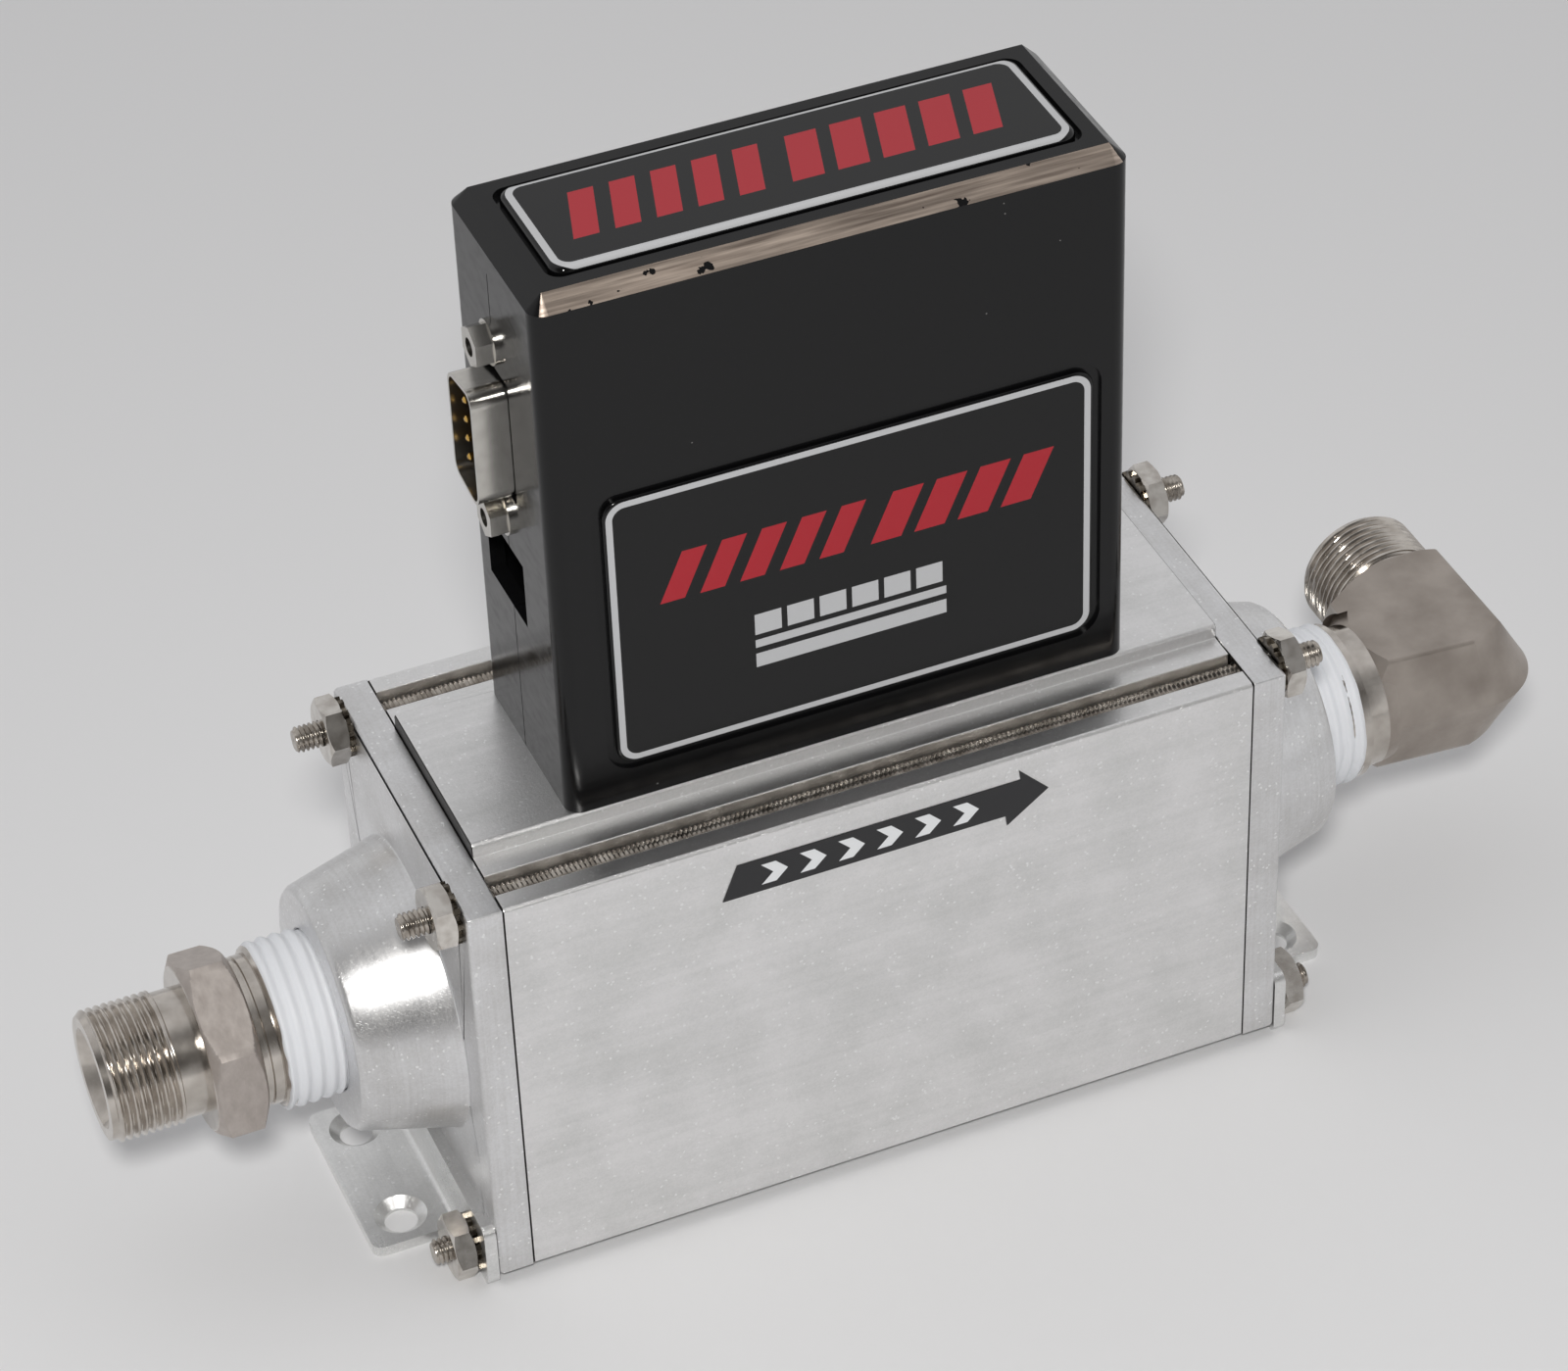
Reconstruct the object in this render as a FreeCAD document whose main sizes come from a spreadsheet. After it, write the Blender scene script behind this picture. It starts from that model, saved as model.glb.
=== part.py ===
import FreeCAD, Part
import math
import os
import re
import Sketcher

# Mass flow meter for gas: a bored aluminium block between two end plates with pipe bosses,
# drawn together by four threaded rods, on two folded feet. A sensor housing of two plastic
# halves and a cap stands on the block. Gas enters at -X and leaves through an elbow at +X.
# The origin is the middle of the block in X and Y, on the surface the feet stand on. Z is up.

V = FreeCAD.Vector

# Driving sizes in millimetres. Every length, position and clearance below is worked out from these.
SIZES = {
    # how far a cut runs past the face it opens
    "overrun": 1.0,
    # block
    "body_length": 101.6,
    "body_width": 49.5,
    "body_height": 60.5,
    "body_bevel": 0.4,
    "bore_radius": 19.0,
    "bore_raise": 0.4,
    "platform_width": 28.3,
    "platform_rise": 2.1,
    "rod_inset_side": 5.05,
    "rod_inset_edge": 2.4,
    "rod_slot": 3.8,
    "rod_slot_depth": 4.4,
    # end plates and pipe bosses
    "plate_thickness": 4.76,
    "plate_bevel": 0.35,
    "boss_length": 13.0,
    "boss_base_radius": 19.5,
    "boss_nose_radius": 16.3,
    "boss_bevel": 0.8,
    "boss_bevel_fall": 0.6,
    "port_radius": 10.7,
    "port_taper": 0.03125,
    "seal_ring_radius": 20.9,
    "seal_groove_width": 2.1,
    "seal_groove_depth": 1.45,
    # tie rods, nuts and toothed washers
    "rod_radius": 1.75,
    "rod_overhang": 7.1,
    "rod_hole_radius": 1.9,
    "rod_end_bevel": 0.3,
    "nut_flats": 7.94,
    "nut_thickness": 2.78,
    "nut_face_radius": 3.89,
    "washer_radius": 3.95,
    "washer_root_radius": 3.3,
    "washer_thickness": 0.7,
    # feet
    "foot_sheet": 1.6,
    "foot_leg_height": 9.8,
    "foot_reach": 13.1,
    "foot_flange_width": 27.5,
    "foot_bend": 0.8,
    "foot_corner": 1.5,
    "foot_hole_out": 7.85,
    "foot_hole_spacing": 17.7,
    "foot_hole_radius": 2.2,
    "foot_sink_radius": 3.5,
    "foot_sink_depth": 1.1,
    # pipe fittings
    "shank_radius": 10.45,
    "shank_depth": 10.8,
    "shank_reach": 7.9,
    "passage_radius": 4.0,
    "relief_radius": 9.8,
    "relief_length": 2.5,
    "hex_flats": 22.2,
    "hex_length": 6.8,
    "hex_face_radius": 10.66,
    "neck_radius": 8.3,
    "neck_length": 3.5,
    "tube_thread_radius": 8.73,
    "tube_thread_length": 8.6,
    "mouth_radius": 8.1,
    "mouth_bevel": 0.8,
    "socket_radius": 4.85,
    "socket_depth": 12.0,
    "flare_radius": 6.6,
    "flare_depth": 2.6,
    "tape_inside": 4.0,
    "tape_outside": 7.2,
    "tape_crest_radius": 11.05,
    "tape_root_radius": 10.8,
    "tape_pitch": 1.81,
    "tape_gap": 0.03,
    "elbow_shank_reach": 8.3,
    "elbow_relief_length": 3.0,
    "elbow_root_length": 2.0,
    "elbow_root_radius": 9.4,
    "elbow_root_bevel": 1.5,
    "elbow_offset": 24.8,
    "elbow_half_height": 9.6,
    "elbow_flare": 0.08,
    "elbow_flat_root": 5.9,
    "elbow_flat_heel": 5.4,
    "elbow_flat_cut_start": 0.2,
    "elbow_flat_cut_end": 4.6,
    "elbow_parting_root": 8.9,
    "elbow_parting_heel": 11.5,
    "elbow_parting_cut": 9.8,
    "elbow_edge_round": 0.8,
    "elbow_under_round": 3.2,
    "elbow_shoulder": 14.3,
    "elbow_shoulder_radius": 9.4,
    "elbow_shoulder_slope": 0.85,
    "elbow_neck_length": 1.6,
    "elbow_thread_reach": 25.2,
    # laminar flow element and what locates it
    "core_clearance": 0.1,
    "core_length": 56.0,
    "core_hole_radius": 2.2,
    "core_inner_circle": 7.2,
    "core_outer_circle": 14.2,
    "core_ring_width": 3.0,
    "core_ring_depth": 1.5,
    "core_feed_radius": 1.2,
    "screen_thickness": 1.2,
    "screen_hole_radius": 1.3,
    "spacer_wall": 1.6,
    "spacer_gap": 0.2,
    # sensor on the platform
    "sensor_y": -5.2,
    "port_inset": 6.95,
    "tap_radius": 1.5,
    "tap_seal_ring_radius": 2.6,
    "tap_seat_radius": 3.5,
    "tap_seat_depth": 1.2,
    "base_length": 52.0,
    "base_width": 12.0,
    "base_height": 8.0,
    "sensor_screw_inset": 2.7,
    "capillary_radius": 0.5,
    "capillary_rise": 14.0,
    "winding_radius": 1.4,
    "winding_length": 8.0,
    "winding_gap": 1.5,
    "cover_inset": 3.0,
    "cover_width": 9.6,
    "cover_height": 18.0,
    "cover_wall": 0.8,
    "cover_end_block": 2.8,
    # plastic housing
    "case_length": 75.8,
    "case_width": 28.2,
    "case_height": 71.1,
    "case_wall": 2.0,
    "case_floor": 2.0,
    "case_corner": 2.1,
    "case_seam_y": 1.1,
    "case_seam_gap": 0.2,
    "case_floor_opening_gap": 0.8,
    "case_floor_opening_width": 23.0,
    "case_screw_x": 32.5,
    "case_screw_y": 8.0,
    "cap_height": 4.9,
    "cap_bevel": 2.0,
    "cap_top": 1.4,
    "cap_lip": 2.6,
    "cap_lip_wall": 1.4,
    "cap_lip_gap": 0.2,
    "cap_lip_root": 0.5,
    "cap_frame": 3.9,
    "cap_recess": 0.9,
    "cap_recess_corner": 2.0,
    # labels
    "top_label_gap": 0.6,
    "top_label_thickness": 1.5,
    "top_label_round": 0.9,
    "front_recess_low": 4.7,
    "front_recess_high": 46.9,
    "front_recess_left": -32.4,
    "front_recess_right": 34.2,
    "front_recess_depth": 0.5,
    "front_recess_corner": 3.6,
    "front_label_gap": 1.2,
    "front_label_thickness": 0.8,
    "front_label_round": 0.4,
    "decal_thickness": 0.1,
    "arrow_tail": -21.4,
    "arrow_neck": 17.1,
    "arrow_tip": 22.0,
    "arrow_middle": 55.5,
    "arrow_shaft_half": 2.6,
    "arrow_head_half": 4.2,
    "arrow_slant": 1.05,
    "arrow_barb_slant": 0.85,
    # connector and circuit board
    "plug_below_top": 22.0,
    "plug_width": 16.92,
    "plug_depth": 8.36,
    "plug_slope": 1.1,
    "plug_corner": 2.0,
    "plug_skin": 0.45,
    "plug_reach": 4.6,
    "plug_clearance": 0.25,
    "plug_wall": 1.4,
    "plug_flange_height": 30.8,
    "plug_flange_width": 12.5,
    "plug_flange_thickness": 1.0,
    "plug_back": 5.0,
    "plug_floor": 1.2,
    "pin_radius": 0.5,
    "pin_bevel": 0.25,
    "pin_fit": 0.03,
    "pin_pitch": 2.77,
    "pin_row_gap": 2.84,
    "pin_short_of_rim": 0.8,
    "pin_tail": 3.0,
    "jack_spacing": 24.99,
    "jack_flats": 4.76,
    "jack_reach": 2.9,
    "jack_washer_radius": 2.9,
    "jack_washer_thickness": 0.6,
    "jack_stem_radius": 1.4,
    "jack_hole_radius": 1.2,
    "jack_hole_depth": 3.0,
    "jack_stem_length": 5.6,
    "window_low": 22.1,
    "window_high": 31.4,
    "window_front": -3.6,
    "window_rear": 9.1,
    "board_thickness": 1.6,
    "board_inset": 3.3,
    "board_notch": 8.6,
    "board_low": 12.0,
    "board_below_top": 4.1,
    "board_edge_gap": 0.3,
    "board_notch_gap": 0.5,
    "trimmer_length": 9.5,
    "trimmer_height": 9.5,
    "trimmer_depth": 4.8,
    "trimmer_screw_radius": 1.1,
    "trimmer_screw_length": 1.5,
    "trimmer_screw_short": 0.2,
    "trimmer_hole_radius": 1.6,
    "zero_height": 27.2,
    "span_height": 51.9,
    # small screws
    "screw_radius": 1.25,
    "screw_head_radius": 2.4,
    "screw_head_height": 1.6,
    "screw_length": 6.0,
    "screw_slack": 0.15,
    "screw_socket_flats": 2.0,
    "screw_socket_depth": 0.9,
}

# Places that several pieces share, as formulas on the sizes.
BODY_END = "(body_length / 2)"
PLATE_END = "(body_length / 2 + plate_thickness)"
BOSS_END = "(body_length / 2 + plate_thickness + boss_length)"
BODY_TOP = "(foot_sheet + body_height)"
PLATFORM_TOP = "(foot_sheet + body_height + platform_rise)"
BORE_Z = "(foot_sheet + body_height / 2 + bore_raise)"
ROD_Y = "(body_width / 2 - rod_inset_side)"
ROD_LOW = "(foot_sheet + rod_inset_edge)"
ROD_HIGH = "(foot_sheet + body_height - rod_inset_edge)"
CASE_TOP = f"({PLATFORM_TOP} + case_height)"
CAP_TOP = f"({CASE_TOP} + cap_height)"
CASE_LEFT = "(-case_length / 2)"
PLUG_Z = f"({CASE_TOP} - plug_below_top)"
PORT_X = "(base_length / 2 - port_inset)"
SENSOR_SCREW_X = "(base_length / 2 - sensor_screw_inset)"
PLUG_SEAT = f"({CASE_LEFT} + plug_wall)"

doc = FreeCAD.newDocument("mass_flow_meter")
pieces = []


def fill_sheet():
    """Write each driving size into a cell that carries its name."""
    sheet = doc.addObject("Spreadsheet::Sheet", "sizes")
    for row, (alias, value) in enumerate(SIZES.items(), start=1):
        sheet.set(f"A{row}", alias)
        sheet.set(f"B{row}", str(value))
        sheet.setAlias(f"B{row}", alias)
    doc.recompute()


def formula(text):
    """Point each size's name in a formula at its cell."""
    return re.sub(r"[a-z][a-z0-9_]*", lambda word: cell_name(word[0]), text)


def cell_name(word):
    return f"sizes.{word}" if word in SIZES else word


def bind(thing, prop, text):
    thing.setExpression(prop, formula(str(text)))


def new_piece(label, turned=False):
    """A body for one piece. A turned piece is drawn at the outlet end and swung round to the inlet."""
    owner = doc.addObject("PartDesign::Body", label)
    owner.Label = label
    if turned:
        owner.Placement = FreeCAD.Placement(V(0, 0, 0), FreeCAD.Rotation(V(0, 0, 1), 180))
    pieces.append(owner)
    return owner


def plane_of(owner, role):
    return [plane for plane in owner.Origin.OriginFeatures if plane.Role == role][0]


def new_sketch(owner, role, offset="0"):
    """A sketch on one of the piece's own planes, moved along that plane's normal."""
    sketch = owner.newObject("Sketcher::SketchObject", "sketch")
    sketch.AttachmentSupport = [(plane_of(owner, role), "")]
    sketch.MapMode = "FlatFace"
    bind(sketch, "AttachmentOffset.Base.z", offset)
    return sketch


def pin_point(sketch, curve, end, across, up, now=V(1, 1, 0)):
    """Hold one point of a curve, which is drawn at now, at two formulas from the sketch's origin."""
    for kind, text, value in (("DistanceX", across, now.x), ("DistanceY", up, now.y)):
        number = sketch.addConstraint(Sketcher.Constraint(kind, -1, 1, curve, end, value))
        bind(sketch, f"Constraints[{number}]", text)


def outline(sketch, points, bent=None, radius=None):
    """A closed run of straight lines through points that are pairs of formulas. The side whose
    number is given as bent is an arc of a radius instead."""
    first = sketch.GeometryCount
    count = len(points)
    # the unit circle's points, none of them on an axis
    turns = [2 * math.pi * (i + 0.1) / count for i in range(count + 1)]
    ring = [V(math.cos(turn), math.sin(turn), 0) for turn in turns]
    for i in range(count):
        side = Part.LineSegment(ring[i], ring[i + 1])
        if i == bent:
            unit = Part.Circle(V(0, 0, 0), V(0, 0, 1), 1.0)
            side = Part.ArcOfCircle(unit, turns[i], turns[i + 1])
        sketch.addGeometry(side, False)
    for i, (across, up) in enumerate(points):
        after = first + (i + 1) % count
        sketch.addConstraint(Sketcher.Constraint("Coincident", first + i, 2, after, 1))
        pin_point(sketch, first + i, 1, across, up, ring[i])
    if bent is not None:
        number = sketch.addConstraint(Sketcher.Constraint("Radius", first + bent, 1.0))
        bind(sketch, f"Constraints[{number}]", radius)


def circle(sketch, across, up, radius):
    number = sketch.addGeometry(Part.Circle(V(0, 0, 0), V(0, 0, 1), 1.0), False)
    pin_point(sketch, number, 3, across, up)
    size = sketch.addConstraint(Sketcher.Constraint("Radius", number, 1.0))
    bind(sketch, f"Constraints[{size}]", radius)


def rectangle(sketch, left, right, low, high):
    outline(sketch, [(left, low), (right, low), (right, high), (left, high)])


def hexagon(sketch, flats, across="0", up="0"):
    """A hexagon given by its width across flats, with two corners straight up and down."""
    side = f"({flats}) / sqrt(3)"
    half = f"({flats}) / 2"
    corners = [("0", side), (f"-{half}", f"{side} / 2"), (f"-{half}", f"-{side} / 2"),
               ("0", f"-{side}"), (half, f"-{side} / 2"), (half, f"{side} / 2")]
    outline(sketch, [(f"{across} + {a}", f"{up} + {u}") for a, u in corners])


def pad(owner, sketch, length, both=False, back=False):
    feature = owner.newObject("PartDesign::Pad", "pad")
    feature.Profile = sketch
    bind(feature, "Length", length)
    feature.SideType = "Symmetric" if both else "One side"
    feature.Reversed = back
    doc.recompute()
    return feature


def must_cut(owner, before):
    """A cut that misses the solid is a fault."""
    doc.recompute()
    if owner.Shape.Volume >= before - 1e-6:
        raise RuntimeError(f"a cut in {owner.Label} removes nothing")


def pocket(owner, sketch, length, both=False, back=False):
    before = owner.Shape.Volume
    feature = owner.newObject("PartDesign::Pocket", "pocket")
    feature.Profile = sketch
    bind(feature, "Length", length)
    feature.SideType = "Symmetric" if both else "One side"
    feature.Reversed = back
    must_cut(owner, before)
    return feature


def spin(owner, sketch, axis="H_Axis"):
    feature = owner.newObject("PartDesign::Revolution", "turning")
    feature.Profile = sketch
    feature.ReferenceAxis = (sketch, [axis])
    feature.Angle = 360
    doc.recompute()
    return feature


def spin_cut(owner, sketch, axis="H_Axis"):
    before = owner.Shape.Volume
    feature = owner.newObject("PartDesign::Groove", "groove")
    feature.Profile = sketch
    feature.ReferenceAxis = (sketch, [axis])
    feature.Angle = 360
    must_cut(owner, before)
    return feature


def primitive(owner, kind, x, y, z, **sizes):
    """A box, cylinder or cone added to or cut from a piece, set from its lowest point upwards."""
    before = owner.Shape.Volume if kind.startswith("Subtractive") else None
    feature = owner.newObject(f"PartDesign::{kind}", "form")
    feature.AttachmentSupport = [(plane_of(owner, "XY_Plane"), "")]
    feature.MapMode = "FlatFace"
    for axis, text in (("x", x), ("y", y), ("z", z)):
        bind(feature, f"AttachmentOffset.Base.{axis}", text)
    for name, text in sizes.items():
        bind(feature, name, text)
    if before is None:
        doc.recompute()
    else:
        must_cut(owner, before)
    return feature


def cut_with(owner, tool):
    """Take another body's form out of a piece."""
    before = owner.Shape.Volume
    feature = owner.newObject("PartDesign::Boolean", "cut")
    feature.Type = "Cut"
    feature.setObjects([tool])
    must_cut(owner, before)
    return feature


def drill(owner, x, y, low, high, radius):
    """An upright round hole between two heights."""
    return primitive(owner, "SubtractiveCylinder", x, y, low, Radius=radius,
                     Height=f"({high}) - ({low})")


def cut_box(owner, left, right, front, rear, low, high):
    return primitive(owner, "SubtractiveBox", left, front, low, Length=f"({right}) - ({left})",
                     Width=f"({rear}) - ({front})", Height=f"({high}) - ({low})")


def add_box(owner, left, right, front, rear, low, high):
    return primitive(owner, "AdditiveBox", left, front, low, Length=f"({right}) - ({left})",
                     Width=f"({rear}) - ({front})", Height=f"({high}) - ({low})")


def edges_where(owner, test):
    """Names of the edges whose bounding box and the piece's bounding box pass a test."""
    whole = owner.Tip.Shape.optimalBoundingBox(False)
    return [f"Edge{number}" for number, edge in enumerate(owner.Tip.Shape.Edges, start=1)
            if test(edge.BoundBox, whole)]


def near(a, b):
    return abs(a - b) < 0.005


def dress(owner, kind, prop, size, test):
    """Round or bevel the edges that pass a test."""
    names = edges_where(owner, test)
    if not names:
        raise RuntimeError(f"no edge to dress in {owner.Label}")
    base = owner.Tip
    feature = owner.newObject(f"PartDesign::{kind}", "dressing")
    feature.Base = (base, names)
    bind(feature, prop, size)
    doc.recompute()
    if "Invalid" in feature.State or near(feature.Shape.Volume, base.Shape.Volume):
        raise RuntimeError(f"a {kind.lower()} in {owner.Label} failed")
    return feature


def fillet(owner, size, test):
    return dress(owner, "Fillet", "Radius", size, test)


def chamfer(owner, size, test):
    return dress(owner, "Chamfer", "Size", size, test)


def along_x(edge):
    return edge.YLength < 0.01 and edge.ZLength < 0.01


def along_y(edge):
    return edge.XLength < 0.01 and edge.ZLength < 0.01


def along_z(edge):
    return edge.XLength < 0.01 and edge.YLength < 0.01


def template(label):
    """A body that is copied to several places and isn't a piece by itself."""
    owner = doc.addObject("PartDesign::Body", label)
    owner.Label = label
    return owner


def copies(label, master, places):
    """One node of several like pieces: each place is (x, y, z, rotation)."""
    links = []
    for x, y, z, turn in places:
        link = doc.addObject("App::Link", f"{label}_link")
        link.LinkedObject = master
        link.LinkTransform = False
        link.Placement = FreeCAD.Placement(V(0, 0, 0), turn)
        for axis, text in (("x", x), ("y", y), ("z", z)):
            bind(link, f"Placement.Base.{axis}", text)
        links.append(link)
    group = doc.addObject("Part::Compound", label)
    group.Label = label
    group.Links = links
    pieces.append(group)
    doc.recompute()
    return group


def flow_body():
    """Block sawn from an extruded bar: rod slots in its corners, a raised platform along the
    top for the sensor, a bore from end to end and two taps up to the sensor."""
    owner = new_piece("flow_body")
    half = "body_width / 2"
    outer = f"({ROD_Y} + rod_slot / 2)"
    inner = f"({ROD_Y} - rod_slot / 2)"
    low = "foot_sheet"
    low_slot = "(foot_sheet + rod_slot_depth)"
    high_slot = f"({BODY_TOP} - rod_slot_depth)"
    rear = [(inner, low), (inner, low_slot), (outer, low_slot), (outer, low), (half, low),
            (half, BODY_TOP), (outer, BODY_TOP), (outer, high_slot), (inner, high_slot),
            (inner, BODY_TOP), ("platform_width / 2", BODY_TOP),
            ("platform_width / 2", PLATFORM_TOP)]
    front = [(f"-({across})", up) for across, up in reversed(rear)]
    section = new_sketch(owner, "YZ_Plane")
    outline(section, rear + front)
    pad(owner, section, "body_length", both=True)
    chamfer(owner, "body_bevel", lambda edge, whole: along_x(edge) and (
        near(abs(edge.YMin), whole.YMax) or near(edge.ZMin, whole.ZMax)))
    bore = new_sketch(owner, "YZ_Plane")
    circle(bore, "0", BORE_Z, "bore_radius")
    pocket(owner, bore, "body_length + 2 * overrun", both=True)
    for side in ("", "-"):
        ring = new_sketch(owner, "YZ_Plane", f"{side}{BODY_END}")
        circle(ring, "0", BORE_Z, "seal_ring_radius + seal_groove_width / 2")
        circle(ring, "0", BORE_Z, "seal_ring_radius - seal_groove_width / 2")
        pocket(owner, ring, "seal_groove_depth", back=(side == "-"))
        tap_x = f"{side}{PORT_X}"
        drill(owner, tap_x, "sensor_y", BORE_Z, PLATFORM_TOP, "tap_radius")
        drill(owner, tap_x, "sensor_y", f"{PLATFORM_TOP} - tap_seat_depth", PLATFORM_TOP,
              "tap_seat_radius")
        drill(owner, f"{side}{SENSOR_SCREW_X}", "sensor_y", f"{PLATFORM_TOP} - screw_length",
              PLATFORM_TOP, "screw_radius + screw_slack")
        for row in ("", "-"):
            drill(owner, f"{side}case_screw_x", f"{row}case_screw_y",
                  f"{PLATFORM_TOP} - screw_length", PLATFORM_TOP, "screw_radius + screw_slack")


def end_plate(label, turned):
    """Cast plate with a conical pipe boss; the boss carries a taper pipe port."""
    owner = new_piece(label, turned)
    face = new_sketch(owner, "YZ_Plane", BODY_END)
    rectangle(face, "-body_width / 2", "body_width / 2", "foot_sheet", BODY_TOP)
    pad(owner, face, "plate_thickness")
    chamfer(owner, "plate_bevel", lambda edge, whole: near(edge.XMin, whole.XMax))
    boss = new_sketch(owner, "XY_Plane", BORE_Z)
    outline(boss, [(BODY_END, "0"), (BODY_END, "boss_base_radius"),
                   (PLATE_END, "boss_base_radius"),
                   (f"{BOSS_END} - boss_bevel", "boss_nose_radius"),
                   (BOSS_END, "boss_nose_radius - boss_bevel_fall"), (BOSS_END, "0")])
    spin(owner, boss)
    port = new_sketch(owner, "XY_Plane", BORE_Z)
    depth = "(plate_thickness + boss_length)"
    outline(port, [(BODY_END, "0"), (BODY_END, f"port_radius - {depth} * port_taper"),
                   (BOSS_END, "port_radius"), (BOSS_END, "0")])
    spin_cut(owner, port)
    holes = new_sketch(owner, "YZ_Plane", BODY_END)
    for side in ("", "-"):
        for height in (ROD_LOW, ROD_HIGH):
            circle(holes, f"{side}{ROD_Y}", height, "rod_hole_radius")
    pocket(owner, holes, "plate_thickness", back=True)


def tie_rods():
    """Four fully threaded rods, here plain, that draw the end plates on to the block."""
    length = f"(2 * ({PLATE_END} + rod_overhang))"
    for name, side in (("front", "-"), ("rear", "")):
        for level, height in (("lower", ROD_LOW), ("upper", ROD_HIGH)):
            owner = new_piece(f"tie_rod_{name}_{level}")
            section = new_sketch(owner, "YZ_Plane")
            circle(section, f"{side}{ROD_Y}", height, "rod_radius")
            pad(owner, section, length, both=True)
            chamfer(owner, "rod_end_bevel", lambda edge, whole: edge.XLength < 0.01)


def turn_corners(owner, flats, face, start, inward, height):
    """Turn a hexagon's corners off at 30 degrees at one end, outside its round end face."""
    beyond = f"(2 * {flats} / sqrt(3) - {face})"
    bevel = new_sketch(owner, "XY_Plane", height)
    outline(bevel, [(start, face), (f"{start} {inward} ({beyond} - {face}) * tan(30deg)", beyond),
                    (start, beyond)])
    spin_cut(owner, bevel)


def nut_template():
    """Hexagon nut, its corners turned off at both ends."""
    owner = template("nut")
    section = new_sketch(owner, "YZ_Plane")
    hexagon(section, "nut_flats")
    pad(owner, section, "nut_thickness")
    for start, inward in (("0", "+"), ("nut_thickness", "-")):
        turn_corners(owner, "nut_flats", "nut_face_radius", start, inward, "0")
    hole = new_sketch(owner, "YZ_Plane")
    circle(hole, "0", "0", "rod_radius")
    pocket(owner, hole, "nut_thickness", back=True)
    return owner


def washer_template():
    """Lock washer with teeth round its outer edge."""
    owner = template("washer")
    teeth = 12
    # shares of one tooth's turn at which its flanks end and its tip begins
    root = 0.32
    tip = 0.18
    section = new_sketch(owner, "YZ_Plane")
    points = []
    for i in range(teeth):
        for step, radius in ((-root, "washer_root_radius"), (-tip, "washer_radius"),
                             (tip, "washer_radius"), (root, "washer_root_radius")):
            angle = 360 / teeth * (i + step)
            points.append((f"{radius} * cos({angle:.1f}deg)", f"{radius} * sin({angle:.1f}deg)"))
    outline(section, points)
    pad(owner, section, "washer_thickness")
    hole = new_sketch(owner, "YZ_Plane")
    circle(hole, "0", "0", "rod_hole_radius")
    pocket(owner, hole, "washer_thickness", back=True)
    return owner


def nuts_and_washers():
    """A toothed washer and a nut at each end of each rod; the lower ones also clamp a foot."""
    nut = nut_template()
    washer = washer_template()
    # degrees each nut was left turned: lower and upper, of the front and of the rear rods
    spun = ((30, 11), (30, 34))
    for end, side, swing in (("inlet", "-", 180), ("outlet", "", 0)):
        nuts = []
        washers = []
        for row, y_sign in enumerate(("-", "")):
            for level, height in enumerate((ROD_LOW, ROD_HIGH)):
                seat = f"({PLATE_END} + {'foot_sheet' if level == 0 else '0'})"
                turn = (FreeCAD.Rotation(V(0, 0, 1), swing)
                        * FreeCAD.Rotation(V(1, 0, 0), spun[row][level]))
                washers.append((f"{side}{seat}", f"{y_sign}{ROD_Y}", height, turn))
                nuts.append((f"{side}({seat} + washer_thickness)", f"{y_sign}{ROD_Y}", height,
                             turn))
        copies(f"{end}_lock_washers", washer, washers)
        copies(f"{end}_tie_rod_nuts", nut, nuts)


def foot_bracket(label, turned):
    """Foot folded from sheet: a leg behind the lower nuts and a flange with two sunk holes."""
    owner = new_piece(label, turned)
    inner = f"({PLATE_END} + foot_sheet)"
    outer = f"({PLATE_END} + foot_reach)"
    fold = new_sketch(owner, "XZ_Plane")
    outline(fold, [(PLATE_END, "0"), (outer, "0"), (outer, "foot_sheet"), (inner, "foot_sheet"),
                   (inner, "foot_leg_height"), (PLATE_END, "foot_leg_height")])
    pad(owner, fold, "foot_flange_width", both=True)
    fillet(owner, "foot_corner", lambda edge, whole: along_z(edge) and near(edge.XMin, whole.XMax))
    sheet = SIZES["foot_sheet"]
    fillet(owner, "foot_bend", lambda edge, whole: along_y(edge)
           and near(edge.XMin, whole.XMin + sheet) and near(edge.ZMin, whole.ZMin + sheet))
    fillet(owner, "foot_bend + foot_sheet", lambda edge, whole: along_y(edge)
           and near(edge.XMin, whole.XMin) and near(edge.ZMin, whole.ZMin))
    for front, rear in (("foot_flange_width / 2", "body_width / 2"),
                        ("-body_width / 2", "-foot_flange_width / 2")):
        add_box(owner, PLATE_END, inner, front, rear, "0", "foot_leg_height")
    fillet(owner, "foot_corner", lambda edge, whole: along_x(edge)
           and near(abs(edge.YMin), whole.YMax))
    for side in ("", "-"):
        x = f"{PLATE_END} + foot_hole_out"
        y = f"{side}foot_hole_spacing / 2"
        drill(owner, x, y, "0", "foot_sheet", "foot_hole_radius")
        primitive(owner, "SubtractiveCone", x, y, "foot_sheet - foot_sink_depth",
                  Radius1="foot_hole_radius", Radius2="foot_sink_radius",
                  Height="foot_sink_depth")
    holes = new_sketch(owner, "YZ_Plane", PLATE_END)
    for side in ("", "-"):
        circle(holes, f"{side}{ROD_Y}", ROD_LOW, "rod_hole_radius")
    pocket(owner, holes, "foot_sheet", back=True)


def end_seal(label, side):
    """Rubber ring between the block and an end plate, lying in its groove."""
    ring = doc.addObject("Part::Torus", label)
    ring.Label = label
    bind(ring, "Radius1", "seal_ring_radius")
    bind(ring, "Radius2", "seal_groove_depth / 2")
    ring.Placement = FreeCAD.Placement(V(0, 0, 0), FreeCAD.Rotation(V(0, 1, 0), 90))
    bind(ring, "Placement.Base.x", f"{side}({BODY_END} - seal_groove_depth / 2)")
    bind(ring, "Placement.Base.z", BORE_Z)
    pieces.append(ring)


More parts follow.
